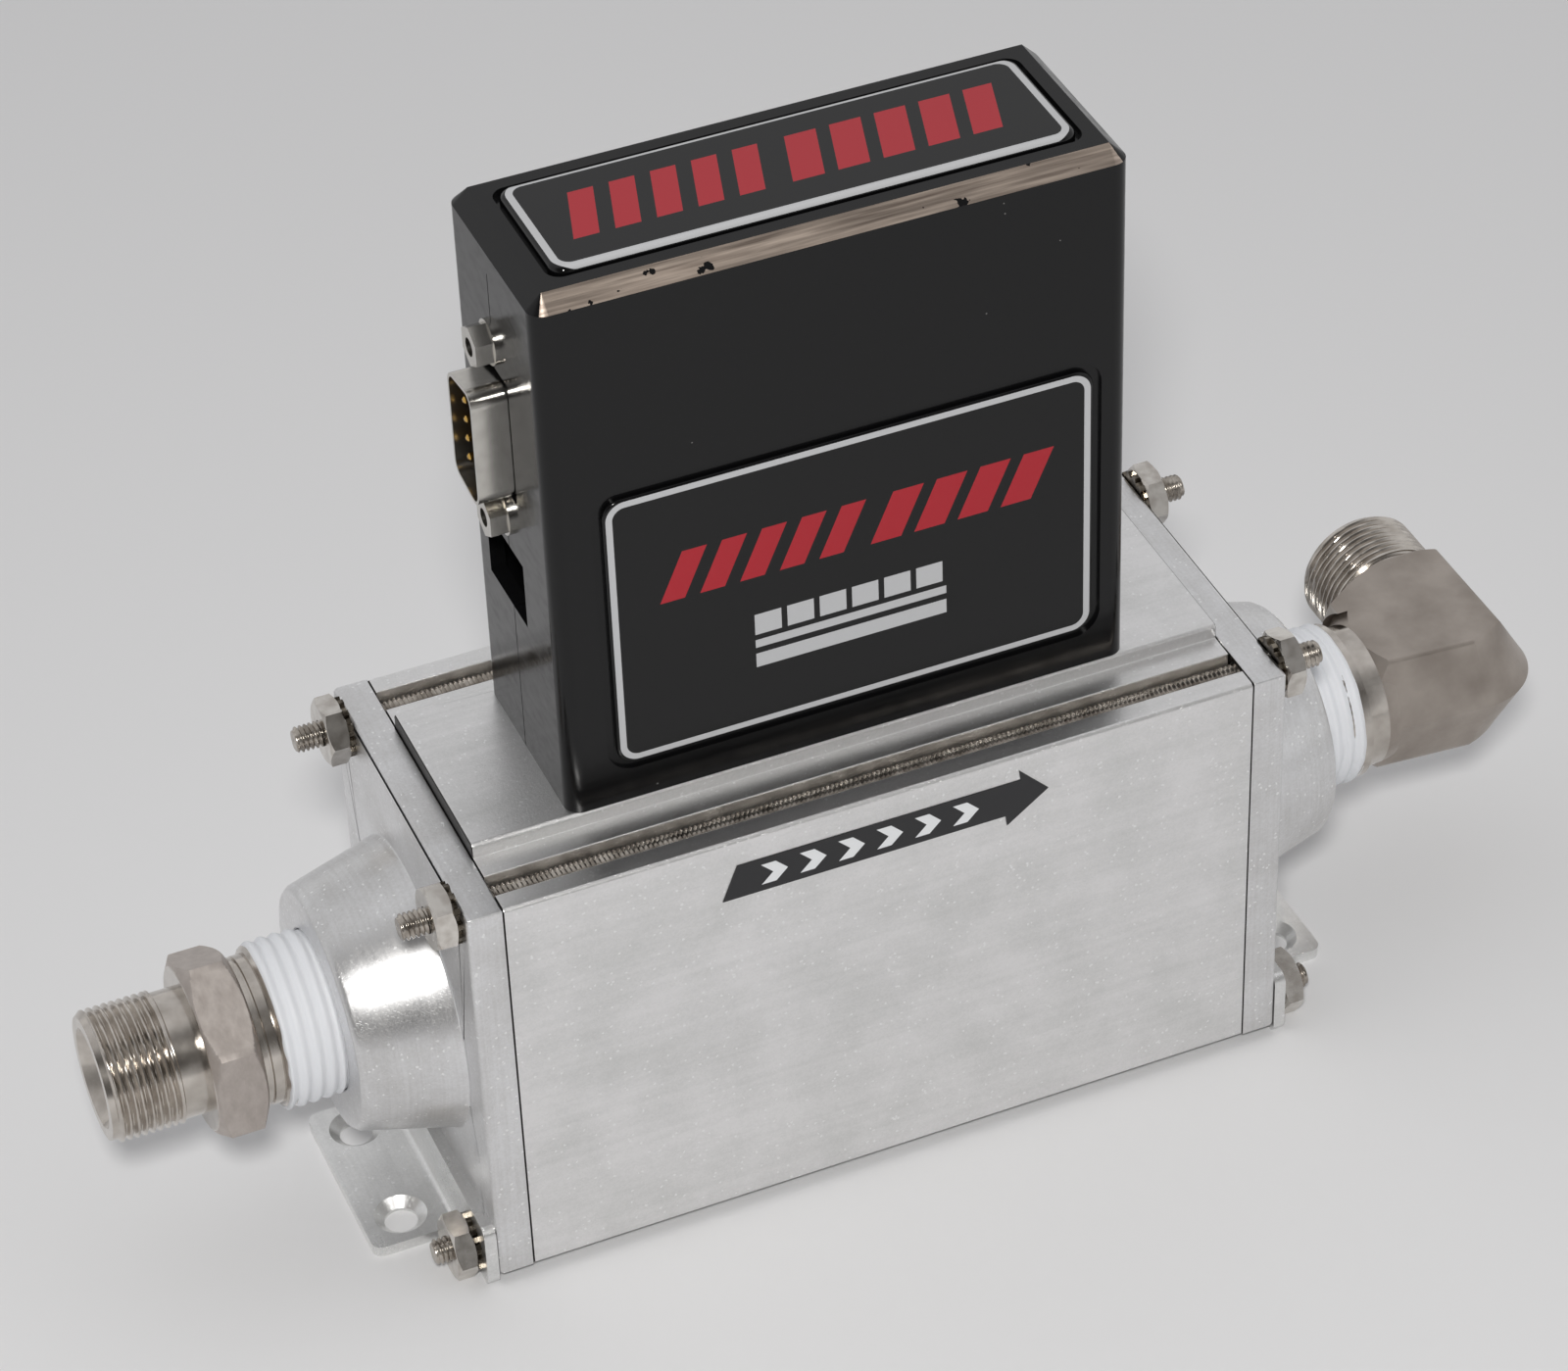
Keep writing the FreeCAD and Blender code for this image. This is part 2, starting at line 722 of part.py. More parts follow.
def shank_points(reach):
    """Outer line of a taper pipe shank, from inside the port to the relief behind it."""
    inner = f"{BOSS_END} - shank_depth"
    return [(inner, "passage_radius"), (inner, "shank_radius - shank_depth * port_taper"),
            (f"{BOSS_END} + {reach}", f"shank_radius + {reach} * port_taper"),
            (f"{BOSS_END} + {reach}", "relief_radius")]


def inlet_fitting():
    """Stainless straight connector: taper shank, hexagon, and a threaded neck for a tube nut."""
    owner = new_piece("inlet_fitting", turned=True)
    hex_start = f"({BOSS_END} + shank_reach + relief_length)"
    hex_end = f"({hex_start} + hex_length)"
    neck_end = f"({hex_end} + neck_length)"
    thread_end = f"({neck_end} + tube_thread_length)"
    mouth = f"({thread_end} + mouth_bevel)"
    section = new_sketch(owner, "XY_Plane", BORE_Z)
    outline(section, shank_points("shank_reach") + [
        (hex_start, "relief_radius"), (hex_end, "relief_radius"), (hex_end, "neck_radius"),
        (neck_end, "neck_radius"), (neck_end, "tube_thread_radius"),
        (thread_end, "tube_thread_radius"), (mouth, "mouth_radius"), (mouth, "flare_radius"),
        (f"{mouth} - flare_depth", "socket_radius"), (f"{mouth} - socket_depth", "socket_radius"),
        (f"{mouth} - socket_depth", "passage_radius")])
    spin(owner, section)
    flats = new_sketch(owner, "YZ_Plane", hex_start)
    hexagon(flats, "hex_flats", up=BORE_Z)
    circle(flats, "0", BORE_Z, "passage_radius")
    pad(owner, flats, "hex_length")
    for start, inward in ((hex_start, "+"), (hex_end, "-")):
        turn_corners(owner, "hex_flats", "hex_face_radius", start, inward, BORE_Z)


def tape_wrap(label, turned):
    """White sealing tape wound on the shank, pressed into rings by the pipe thread under it."""
    owner = new_piece(label, turned)
    inner = f"{BOSS_END} - tape_inside"
    points = [(inner, "shank_radius - tape_inside * port_taper + tape_gap"),
              (inner, "port_radius - tape_inside * port_taper - tape_gap"),
              (BOSS_END, "port_radius - tape_gap"), (BOSS_END, "tape_root_radius")]
    ridges = 3
    # each ridge rises and falls at these shares of a turn of the thread
    for i in range(ridges):
        for step, radius in ((0.3, "tape_root_radius"), (0.55, "tape_crest_radius"),
                             (0.95, "tape_crest_radius"), (1.2, "tape_root_radius")):
            points.append((f"{BOSS_END} + tape_pitch * {i + step:.2f}", radius))
    points += [(f"{BOSS_END} + tape_outside", "tape_root_radius"),
               (f"{BOSS_END} + tape_outside", "shank_radius + tape_outside * port_taper + tape_gap")]
    section = new_sketch(owner, "XY_Plane", BORE_Z)
    outline(section, points)
    spin(owner, section)


def elbow_body(owner, body_start, axis):
    """Block drawn in from the forging's parting plane to a flat above and below, its outer corner
    cut off. Both ends are turned: the root to the shank's collar, the inner side to the arm."""
    flat_cut = f"({axis} + elbow_flat_cut_start)"
    flat_heel = f"({axis} + elbow_flat_heel)"
    flat = [(body_start, "-elbow_flat_root"),
            (flat_cut, f"-elbow_flat_root - elbow_flare * ({flat_cut} - {body_start})"),
            (flat_heel, "-elbow_flat_cut_end"), (flat_heel, "elbow_shoulder"),
            (body_start, "elbow_shoulder")]
    heel = f"({axis} + elbow_parting_heel)"
    cut = f"({heel} - elbow_parting_cut)"
    front = f"(-elbow_parting_root - elbow_flare * ({cut} - {body_start}))"
    parting = [(body_start, "-elbow_parting_root"), (cut, front),
               (heel, f"{front} + elbow_parting_cut"), (heel, "elbow_shoulder"),
               (body_start, "elbow_shoulder")]
    levels = [new_sketch(owner, "XY_Plane", f"{BORE_Z} + {height}")
              for height in ("elbow_half_height", "0", "-elbow_half_height")]
    outline(levels[0], flat)
    outline(levels[1], parting, bent=1, radius="elbow_parting_cut")
    outline(levels[2], flat)
    loft = owner.newObject("PartDesign::AdditiveLoft", "drafted_body")
    loft.Profile = levels[0]
    loft.Sections = levels[1:]
    loft.Ruled = True
    doc.recompute()
    for size, level in (("elbow_edge_round", "ZMax"), ("elbow_under_round", "ZMin")):
        fillet(owner, size, lambda edge, whole: edge.XMax > whole.XMin + 1
               and near(edge.ZMin, getattr(whole, level)) and near(edge.ZMax, getattr(whole, level))
               and edge.YMax < whole.YMax)
    root = new_sketch(owner, "XY_Plane", BORE_Z)
    outline(root, [(body_start, "relief_radius"),
                   (f"{body_start} + elbow_root_bevel", "relief_radius + elbow_root_bevel"),
                   (body_start, "relief_radius + elbow_root_bevel")])
    spin_cut(owner, root)
    reach = f"({axis} - {body_start} + elbow_shoulder)"
    shoulder = new_sketch(owner, "XY_Plane", BORE_Z)
    outline(shoulder, [
        (f"{axis} + elbow_shoulder_radius", "elbow_shoulder + overrun"),
        (f"{axis} + elbow_shoulder_radius", "elbow_shoulder"),
        (f"{axis} + {reach}",
         f"elbow_shoulder - ({reach} - elbow_shoulder_radius) * elbow_shoulder_slope"),
        (f"{axis} + {reach}", "elbow_shoulder + overrun")])
    spin_about_axis(owner, shoulder, axis, cutting=True)


def outlet_elbow():
    """Forged right-angle connector: taper shank, collar, drafted body and a threaded arm to +Y."""
    owner = new_piece("outlet_elbow")
    body_start = f"({BOSS_END} + elbow_shank_reach + elbow_relief_length)"
    axis = f"({BOSS_END} + elbow_offset)"
    elbow_body(owner, body_start, axis)
    arm = new_sketch(owner, "XY_Plane", BORE_Z)
    neck_end = "(elbow_shoulder + elbow_neck_length)"
    outline(arm, [(axis, "0"), (f"{axis} + neck_radius", "0"), (f"{axis} + neck_radius", neck_end),
                  (f"{axis} + tube_thread_radius", neck_end),
                  (f"{axis} + tube_thread_radius", "elbow_thread_reach - mouth_bevel"),
                  (f"{axis} + mouth_radius", "elbow_thread_reach"), (axis, "elbow_thread_reach")])
    spin_about_axis(owner, arm, axis)
    shank = new_sketch(owner, "XY_Plane", BORE_Z)
    points = shank_points("elbow_shank_reach")
    points[0] = (points[0][0], "0")
    outline(shank, points + [
        (body_start, "relief_radius"), (f"{body_start} + elbow_root_length", "elbow_root_radius"),
        (f"{body_start} + elbow_root_length", "0")])
    spin(owner, shank)
    through = new_sketch(owner, "XY_Plane", BORE_Z)
    outline(through, [(f"{BOSS_END} - shank_depth", "0"),
                      (f"{BOSS_END} - shank_depth", "passage_radius"),
                      (axis, "passage_radius"), (axis, "0")])
    spin_cut(owner, through)
    mouth = new_sketch(owner, "XY_Plane", BORE_Z)
    outline(mouth, [(axis, "-passage_radius"), (f"{axis} + passage_radius", "-passage_radius"),
                    (f"{axis} + passage_radius", "elbow_thread_reach - socket_depth"),
                    (f"{axis} + socket_radius", "elbow_thread_reach - socket_depth"),
                    (f"{axis} + socket_radius", "elbow_thread_reach - flare_depth"),
                    (f"{axis} + flare_radius", "elbow_thread_reach"),
                    (axis, "elbow_thread_reach")])
    spin_about_axis(owner, mouth, axis, cutting=True)


def spin_about_axis(owner, sketch, axis, cutting=False):
    """Turn a profile about the arm's axis, a level line along Y."""
    line = sketch.addGeometry(Part.LineSegment(V(0, 0, 0), V(0, 1, 0)), True)
    pin_point(sketch, line, 1, axis, "0")
    pin_point(sketch, line, 2, axis, "elbow_shoulder")
    turn = spin_cut if cutting else spin
    return turn(owner, sketch, "Axis0")


def flow_core():
    """Laminar flow element: a plug of parallel passages with two ring grooves under the taps."""
    owner = new_piece("laminar_flow_element")
    radius = "(bore_radius - core_clearance)"
    section = new_sketch(owner, "YZ_Plane")
    circle(section, "0", BORE_Z, radius)
    pad(owner, section, "core_length", both=True)
    passages = new_sketch(owner, "YZ_Plane")
    circle(passages, "0", BORE_Z, "core_hole_radius")
    for circle_radius, count in (("core_inner_circle", 6), ("core_outer_circle", 12)):
        for i in range(count):
            angle = 360 / count * i
            circle(passages, f"{circle_radius} * cos({angle:.0f}deg)",
                   f"{BORE_Z} + {circle_radius} * sin({angle:.0f}deg)", "core_hole_radius")
    pocket(owner, passages, "core_length + 2 * overrun", both=True)
    for side in ("", "-"):
        ring = new_sketch(owner, "XY_Plane", BORE_Z)
        middle = f"{side}{PORT_X}"
        outline(ring, [(f"{middle} - core_ring_width / 2", f"{radius} - core_ring_depth"),
                       (f"{middle} - core_ring_width / 2", f"{radius} + overrun"),
                       (f"{middle} + core_ring_width / 2", f"{radius} + overrun"),
                       (f"{middle} + core_ring_width / 2", f"{radius} - core_ring_depth")])
        spin_cut(owner, ring)
        drill(owner, middle, "0", f"{BORE_Z} + core_outer_circle", f"{BORE_Z} + bore_radius",
              "core_feed_radius")


def flow_spacers():
    """Two tubes that hold the flow element and the screen against the end plates."""
    radius = "(bore_radius - core_clearance)"
    for label, side, end in (("inlet_spacer", "-", "screen_thickness"), ("outlet_spacer", "", "0")):
        owner = new_piece(label)
        near_end = "(core_length / 2 + spacer_gap)"
        far_end = f"({BODY_END} - {end} - spacer_gap)"
        section = new_sketch(owner, "XY_Plane", BORE_Z)
        outline(section, [(f"{side}{near_end}", f"{radius} - spacer_wall"),
                          (f"{side}{near_end}", radius), (f"{side}{far_end}", radius),
                          (f"{side}{far_end}", f"{radius} - spacer_wall")])
        spin(owner, section)


def inlet_screen():
    """Perforated disc that spreads the gas and stops dirt."""
    owner = new_piece("inlet_screen")
    section = new_sketch(owner, "YZ_Plane", f"-{BODY_END}")
    circle(section, "0", BORE_Z, "bore_radius - core_clearance")
    circle(section, "0", BORE_Z, "screen_hole_radius")
    for circle_radius, count in (("core_inner_circle", 8), ("core_outer_circle", 16)):
        for i in range(count):
            angle = 360 / count * i
            circle(section, f"{circle_radius} * cos({angle:.1f}deg)",
                   f"{BORE_Z} + {circle_radius} * sin({angle:.1f}deg)", "screen_hole_radius")
    pad(owner, section, "screen_thickness")


def screw_template():
    """Small socket-head screw with its head's underside at height zero."""
    owner = template("screw")
    section = new_sketch(owner, "XZ_Plane")
    outline(section, [("0", "-screw_length"), ("screw_radius", "-screw_length"),
                      ("screw_radius", "0"), ("screw_head_radius", "0"),
                      ("screw_head_radius", "screw_head_height"), ("0", "screw_head_height")])
    spin(owner, section, "V_Axis")
    socket = new_sketch(owner, "XY_Plane", "screw_head_height")
    hexagon(socket, "screw_socket_flats")
    pocket(owner, socket, "screw_socket_depth")
    return owner


def sensor_pieces(screw):
    """Sensor on the platform: a base over the taps, a heated capillary, its windings and cover."""
    owner = new_piece("sensor_base")
    top = f"({PLATFORM_TOP} + base_height)"
    add_box(owner, "-base_length / 2", "base_length / 2", "sensor_y - base_width / 2",
            "sensor_y + base_width / 2", PLATFORM_TOP, top)
    for side in ("", "-"):
        drill(owner, f"{side}{PORT_X}", "sensor_y", PLATFORM_TOP, top, "capillary_radius")
        drill(owner, f"{side}{SENSOR_SCREW_X}", "sensor_y", PLATFORM_TOP, top,
              "screw_radius + screw_slack")
        drill(owner, f"{side}{SENSOR_SCREW_X}", "sensor_y", f"{top} - screw_head_height", top,
              "screw_head_radius + screw_slack")
    identity = FreeCAD.Rotation()
    copies("sensor_screws", screw, [
        (f"{side}{SENSOR_SCREW_X}", "sensor_y", f"{top} - screw_head_height", identity)
        for side in ("", "-")])
    copies_of_rings()
    capillary(top)
    windings(top)
    sensor_cover(top)


def copies_of_rings():
    """Two small rubber rings that seal the sensor's base to the taps."""
    rings = []
    for side in ("", "-"):
        ring = doc.addObject("Part::Torus", "tap_ring")
        bind(ring, "Radius1", "tap_seal_ring_radius")
        bind(ring, "Radius2", "tap_seat_depth / 2")
        bind(ring, "Placement.Base.x", f"{side}{PORT_X}")
        bind(ring, "Placement.Base.y", "sensor_y")
        bind(ring, "Placement.Base.z", f"{PLATFORM_TOP} - tap_seat_depth / 2")
        rings.append(ring)
    group = doc.addObject("Part::Compound", "sensor_port_seals")
    group.Label = "sensor_port_seals"
    group.Links = rings
    pieces.append(group)


def capillary(top):
    """Steel capillary: up from one tap, across, and down to the other."""
    owner = new_piece("sensor_tube")
    path = owner.newObject("Sketcher::SketchObject", "path")
    path.AttachmentSupport = [(plane_of(owner, "XZ_Plane"), "")]
    path.MapMode = "FlatFace"
    bind(path, "AttachmentOffset.Base.z", "-sensor_y")
    half = PORT_X
    high = f"({top} + capillary_rise)"
    stops = [(f"-{half}", f"{top} - base_height / 2"), (f"-{half}", high), (half, high),
             (half, f"{top} - base_height / 2")]
    for i in range(3):
        path.addGeometry(Part.LineSegment(V(i, 0, 0), V(i + 1, 1, 0)), False)
    for i in range(2):
        path.addConstraint(Sketcher.Constraint("Coincident", i, 2, i + 1, 1))
    for i, (across, up) in enumerate(stops[:3]):
        pin_point(path, i, 1, across, up)
    pin_point(path, 2, 2, *stops[3])
    doc.recompute()
    ring = new_sketch(owner, "XY_Plane", f"{top} - base_height / 2")
    circle(ring, f"-{half}", "sensor_y", "capillary_radius - pin_fit")
    pipe = owner.newObject("PartDesign::AdditivePipe", "pipe")
    pipe.Profile = ring
    pipe.Spine = (path, ["Edge1", "Edge2", "Edge3"])
    pipe.Transition = "Round corner"
    doc.recompute()


def windings(top):
    """Two heater and sensing windings on the capillary's level run."""
    group_links = []
    for side in ("", "-"):
        sleeve = template("winding")
        height = f"({top} + capillary_rise)"
        section = new_sketch(sleeve, "XY_Plane", height)
        start = f"{side}winding_gap / 2"
        stop = f"{side}(winding_gap / 2 + winding_length)"
        outline(section, [(start, "capillary_radius"), (start, "winding_radius"),
                          (stop, "winding_radius"), (stop, "capillary_radius")])
        spin(sleeve, section)
        bind(sleeve, "Placement.Base.y", "sensor_y")
        group_links.append(sleeve)
    group = doc.addObject("Part::Compound", "sensor_windings")
    group.Label = "sensor_windings"
    group.Links = group_links
    pieces.append(group)


def sensor_cover(top):
    """Pressed steel cover over the capillary, standing on the base."""
    owner = new_piece("sensor_cover")
    high = f"({top} + cover_height)"
    end = "(base_length / 2 - cover_inset)"
    add_box(owner, f"-{end}", end, "sensor_y - cover_width / 2", "sensor_y + cover_width / 2",
            top, high)
    for side in ("", "-"):
        drill(owner, f"{side}{SENSOR_SCREW_X}", "sensor_y", top, high,
              "screw_head_radius + screw_slack")
    cut_box(owner, f"-{end} + cover_end_block", f"{end} - cover_end_block",
            "sensor_y - cover_width / 2 + cover_wall", "sensor_y + cover_width / 2 - cover_wall",
            f"{top} - overrun", f"{high} - cover_wall")


def case_half(label, rear):
    """Half of the moulded housing: the two halves meet at a seam on the end faces."""
    owner = new_piece(label)
    left = CASE_LEFT
    right = "(case_length / 2)"
    if rear:
        seam, outside = "(case_seam_y + case_seam_gap / 2)", "(case_width / 2)"
        front_y, rear_y = seam, outside
        inner_front, inner_rear = f"({seam} - overrun)", f"({outside} - case_wall)"
    else:
        seam, outside = "(case_seam_y - case_seam_gap / 2)", "(-case_width / 2)"
        front_y, rear_y = outside, seam
        inner_front, inner_rear = f"({outside} + case_wall)", f"({seam} + overrun)"
    add_box(owner, left, right, front_y, rear_y, PLATFORM_TOP, CASE_TOP)
    fillet(owner, "case_corner", lambda edge, whole: along_z(edge)
           and near(edge.YMin, whole.YMax if rear else whole.YMin))
    cut_box(owner, f"{left} + case_wall", f"{right} - case_wall", inner_front, inner_rear,
            f"{PLATFORM_TOP} + case_floor", f"{CASE_TOP} + overrun")
    opening = "(base_length / 2 + case_floor_opening_gap)"
    cut_box(owner, f"-{opening}", opening,
            "-case_floor_opening_width / 2", "case_floor_opening_width / 2",
            f"{PLATFORM_TOP} - overrun", f"{PLATFORM_TOP} + case_floor + overrun")
    sign = "" if rear else "-"
    for side in ("", "-"):
        drill(owner, f"{side}case_screw_x", f"{sign}case_screw_y", PLATFORM_TOP,
              f"{PLATFORM_TOP} + case_floor", "screw_radius + screw_slack")
    plug_openings(owner, left)
    if not rear:
        trimmer_holes(owner, right)
        front_recess(owner)


def plug_openings(owner, left):
    """Cuts in the left wall: the plug's mouth, its two screws, a thinner seat and the window."""
    half_width = "(plug_width / 2 + plug_clearance)"
    half_depth = "(plug_depth / 2 + plug_clearance)"
    cut_box(owner, f"{left} - overrun", f"{left} + case_wall + overrun",
            f"case_seam_y - {half_depth}",
            f"case_seam_y + {half_depth}", f"{PLUG_Z} - {half_width}", f"{PLUG_Z} + {half_width}")
    cut_box(owner, PLUG_SEAT, f"{left} + case_wall + overrun",
            "case_seam_y - plug_flange_width / 2 - plug_clearance",
            "case_seam_y + plug_flange_width / 2 + plug_clearance",
            f"{PLUG_Z} - plug_flange_height / 2 - plug_clearance",
            f"{PLUG_Z} + plug_flange_height / 2 + plug_clearance")
    for side in ("+", "-"):
        hole = new_sketch(owner, "YZ_Plane", f"{left} - overrun")
        circle(hole, "case_seam_y", f"{PLUG_Z} {side} jack_spacing / 2",
               "jack_stem_radius + plug_clearance")
        pocket(owner, hole, "case_wall + 2 * overrun", back=True)
    cut_box(owner, f"{left} - overrun", f"{left} + case_wall + overrun", "window_front", "window_rear",
            f"{PLATFORM_TOP} + window_low", f"{PLATFORM_TOP} + window_high")


def trimmer_holes(owner, right):
    """Two screwdriver holes in the right wall, in line with the trimmers' screws."""
    for height in ("zero_height", "span_height"):
        hole = new_sketch(owner, "YZ_Plane", f"{right} + overrun")
        circle(hole, "case_seam_y - board_thickness / 2 - trimmer_depth / 2",
               f"{PLATFORM_TOP} + {height}", "trimmer_hole_radius")
        pocket(owner, hole, "case_wall + 2 * overrun")


def front_recess(owner):
    """Shallow rounded pocket in the front wall for the label."""
    low = f"({PLATFORM_TOP} + front_recess_low)"
    high = f"({PLATFORM_TOP} + front_recess_high)"
    cut_box(owner, "front_recess_left", "front_recess_right", "-case_width / 2 - overrun",
            "-case_width / 2 + front_recess_depth", low, high)
    depth = SIZES["front_recess_depth"]
    fillet(owner, "front_recess_corner", lambda edge, whole: along_y(edge)
           and near(edge.YMin, whole.YMin) and near(edge.YLength, depth))


def top_cap():
    """Cap with bevelled rim, sunk label field and a lip that sits inside the two halves."""
    owner = new_piece("top_cap")
    half_x = "(case_length / 2)"
    half_y = "(case_width / 2)"
    add_box(owner, f"-{half_x}", half_x, f"-{half_y}", half_y, CASE_TOP, CAP_TOP)
    fillet(owner, "case_corner", lambda edge, whole: along_z(edge))
    chamfer(owner, "cap_bevel", lambda edge, whole: near(edge.ZMin, whole.ZMax))
    cut_box(owner, f"-{half_x} + cap_frame", f"{half_x} - cap_frame", f"-{half_y} + cap_frame",
            f"{half_y} - cap_frame", f"{CAP_TOP} - cap_recess", f"{CAP_TOP} + overrun")
    depth = SIZES["cap_recess"]
    fillet(owner, "cap_recess_corner", lambda edge, whole: along_z(edge)
           and near(edge.ZMax, whole.ZMax) and near(edge.ZLength, depth))
    inset = "(case_wall + cap_lip_gap)"
    add_box(owner, f"-{half_x} + {inset}", f"{half_x} - {inset}", f"-{half_y} + {inset}",
            f"{half_y} - {inset}", f"{CASE_TOP} - cap_lip", f"{CASE_TOP} + cap_lip_root")
    hollow = "(case_wall + cap_lip_gap + cap_lip_wall)"
    cut_box(owner, f"-{half_x} + {hollow}", f"{half_x} - {hollow}", f"-{half_y} + {hollow}",
            f"{half_y} - {hollow}", f"{CASE_TOP} - cap_lip - overrun",
            f"{CAP_TOP} - cap_recess - cap_top")


def top_label():
    """Domed label lying in the cap's field."""
    owner = new_piece("top_label")
    low = f"({CAP_TOP} - cap_recess)"
    inset_x = "(case_length / 2 - cap_frame - top_label_gap)"
    inset_y = "(case_width / 2 - cap_frame - top_label_gap)"
    add_box(owner, f"-{inset_x}", inset_x, f"-{inset_y}", inset_y, low,
            f"{low} + top_label_thickness")
    fillet(owner, "cap_recess_corner", lambda edge, whole: along_z(edge))
    fillet(owner, "top_label_round", lambda edge, whole: near(edge.ZMin, whole.ZMax))


def front_label():
    """Label with rounded corners in the front half's pocket."""
    owner = new_piece("front_label")
    back = "(-case_width / 2 + front_recess_depth)"
    add_box(owner, "front_recess_left + front_label_gap", "front_recess_right - front_label_gap",
            f"{back} - front_label_thickness", back,
            f"{PLATFORM_TOP} + front_recess_low + front_label_gap",
            f"{PLATFORM_TOP} + front_recess_high - front_label_gap")
    fillet(owner, "front_recess_corner - front_label_gap", lambda edge, whole: along_y(edge))
    fillet(owner, "front_label_round", lambda edge, whole: near(edge.YMax, whole.YMin))


def flow_arrow_decal():
    """Film arrow stuck to the block's front face; it points the way the gas flows."""
    owner = new_piece("flow_arrow_decal")
    drawing = new_sketch(owner, "XZ_Plane", "body_width / 2")
    low = "arrow_middle - arrow_shaft_half"
    high = "arrow_middle + arrow_shaft_half"
    outline(drawing, [
        ("arrow_tail - arrow_slant", low), ("arrow_neck - arrow_slant", low),
        ("arrow_neck - arrow_barb_slant", "arrow_middle - arrow_head_half"),
        ("arrow_tip", "arrow_middle"),
        ("arrow_neck + arrow_barb_slant", "arrow_middle + arrow_head_half"),
        ("arrow_neck + arrow_slant", high), ("arrow_tail + arrow_slant", high)])
    pad(owner, drawing, "decal_thickness")


def skirt_outline(sketch, grow):
    """Trapezium of the plug's skirt, its long side to the front, grown or shrunk by a formula."""
    half = f"(plug_width / 2 + {grow})"
    deep = f"(plug_depth / 2 + {grow})"
    outline(sketch, [
        (f"case_seam_y - {deep}", f"{PLUG_Z} - {half}"),
        (f"case_seam_y + {deep}", f"{PLUG_Z} - {half} + plug_slope"),
        (f"case_seam_y + {deep}", f"{PLUG_Z} + {half} - plug_slope"),
        (f"case_seam_y - {deep}", f"{PLUG_Z} + {half}")])


def plug_shell():
    """Nine-way plug shell drawn from sheet: a skirt round the pins and a flange behind the wall."""
    owner = new_piece("connector_shell")
    back = f"({PLUG_SEAT} + plug_flange_thickness)"
    rim = f"({CASE_LEFT} - plug_reach)"
    skirt = new_sketch(owner, "YZ_Plane", rim)
    skirt_outline(skirt, "0")
    pad(owner, skirt, f"{back} - {rim}")
    fillet(owner, "plug_corner", lambda edge, whole: along_x(edge))
    flange = new_sketch(owner, "YZ_Plane", PLUG_SEAT)
    rectangle(flange, "case_seam_y - plug_flange_width / 2", "case_seam_y + plug_flange_width / 2",
              f"{PLUG_Z} - plug_flange_height / 2", f"{PLUG_Z} + plug_flange_height / 2")
    pad(owner, flange, "plug_flange_thickness")
    inside = template("skirt_hollow")
    hollow = new_sketch(inside, "YZ_Plane", f"{rim} - overrun")
    skirt_outline(hollow, "-plug_skin")
    pad(inside, hollow, f"{back} - {rim} + 2 * overrun")
    fillet(inside, "plug_corner - plug_skin", lambda edge, whole: along_x(edge))
    cut_with(owner, inside)
    for side in ("+", "-"):
        hole = new_sketch(owner, "YZ_Plane", PLUG_SEAT)
        circle(hole, "case_seam_y", f"{PLUG_Z} {side} jack_spacing / 2",
               "jack_stem_radius + plug_clearance / 2")
        pocket(owner, hole, "plug_flange_thickness", back=True)


def plug_insulator():
    """Moulded block that carries the pins, filling the skirt's root and standing behind it."""
    owner = new_piece("connector_insulator")
    front = f"({PLUG_SEAT} + plug_flange_thickness - plug_floor)"
    body = new_sketch(owner, "YZ_Plane", front)
    skirt_outline(body, "-plug_skin - pin_fit")
    pad(owner, body, "plug_floor + plug_back")
    fillet(owner, "plug_corner - plug_skin", lambda edge, whole: along_x(edge))
    holes = new_sketch(owner, "YZ_Plane", front)
    for across, up in pin_places():
        circle(holes, across, up, "pin_radius")
    pocket(owner, holes, "plug_floor + plug_back", back=True)


def pin_places():
    """Centres of the nine pins: five in the front row, four in the rear row."""
    places = []
    for row, count, sign in ((0, 5, "-"), (1, 4, "+")):
        for i in range(count):
            step = i - (count - 1) / 2
            places.append((f"case_seam_y {sign} pin_row_gap / 2", f"{PLUG_Z} + pin_pitch * {step}"))
    return places


def plug_pins():
    """Nine gold-plated pins, one solid each."""
    rim = f"({CASE_LEFT} - plug_reach)"
    pin = template("pin")
    section = new_sketch(pin, "YZ_Plane")
    circle(section, "0", "0", "pin_radius - pin_fit")
    buried = "(plug_wall + plug_flange_thickness + plug_back + pin_tail)"
    pad(pin, section, f"plug_reach - pin_short_of_rim + {buried}")
    chamfer(pin, "pin_bevel", lambda edge, whole: near(edge.XMax, whole.XMin))
    upright = FreeCAD.Rotation()
    copies("connector_pins", pin, [(f"{rim} + pin_short_of_rim", across, up, upright)
                                   for across, up in pin_places()])


def plug_screws():
    """Hexagon jack screws with a threaded hole for the cable's screws."""
    screw = template("jackscrew")
    washer_end = "jack_washer_thickness"
    washer = new_sketch(screw, "YZ_Plane")
    circle(washer, "0", "0", "jack_washer_radius")
    pad(screw, washer, washer_end)
    head = new_sketch(screw, "YZ_Plane", washer_end)
    hexagon(head, "jack_flats")
    pad(screw, head, "jack_reach - jack_washer_thickness")
    stem = new_sketch(screw, "YZ_Plane")
    circle(stem, "0", "0", "jack_stem_radius")
    pad(screw, stem, "jack_stem_length", back=True)
    hole = new_sketch(screw, "YZ_Plane", "jack_reach")
    circle(hole, "0", "0", "jack_hole_radius")
    pocket(screw, hole, "jack_hole_depth")
    turn = FreeCAD.Rotation(V(0, 0, 1), 180)
    copies("connector_jackscrews", screw, [
        (CASE_LEFT, "case_seam_y", f"{PLUG_Z} {side} jack_spacing / 2", turn)
        for side in ("+", "-")])


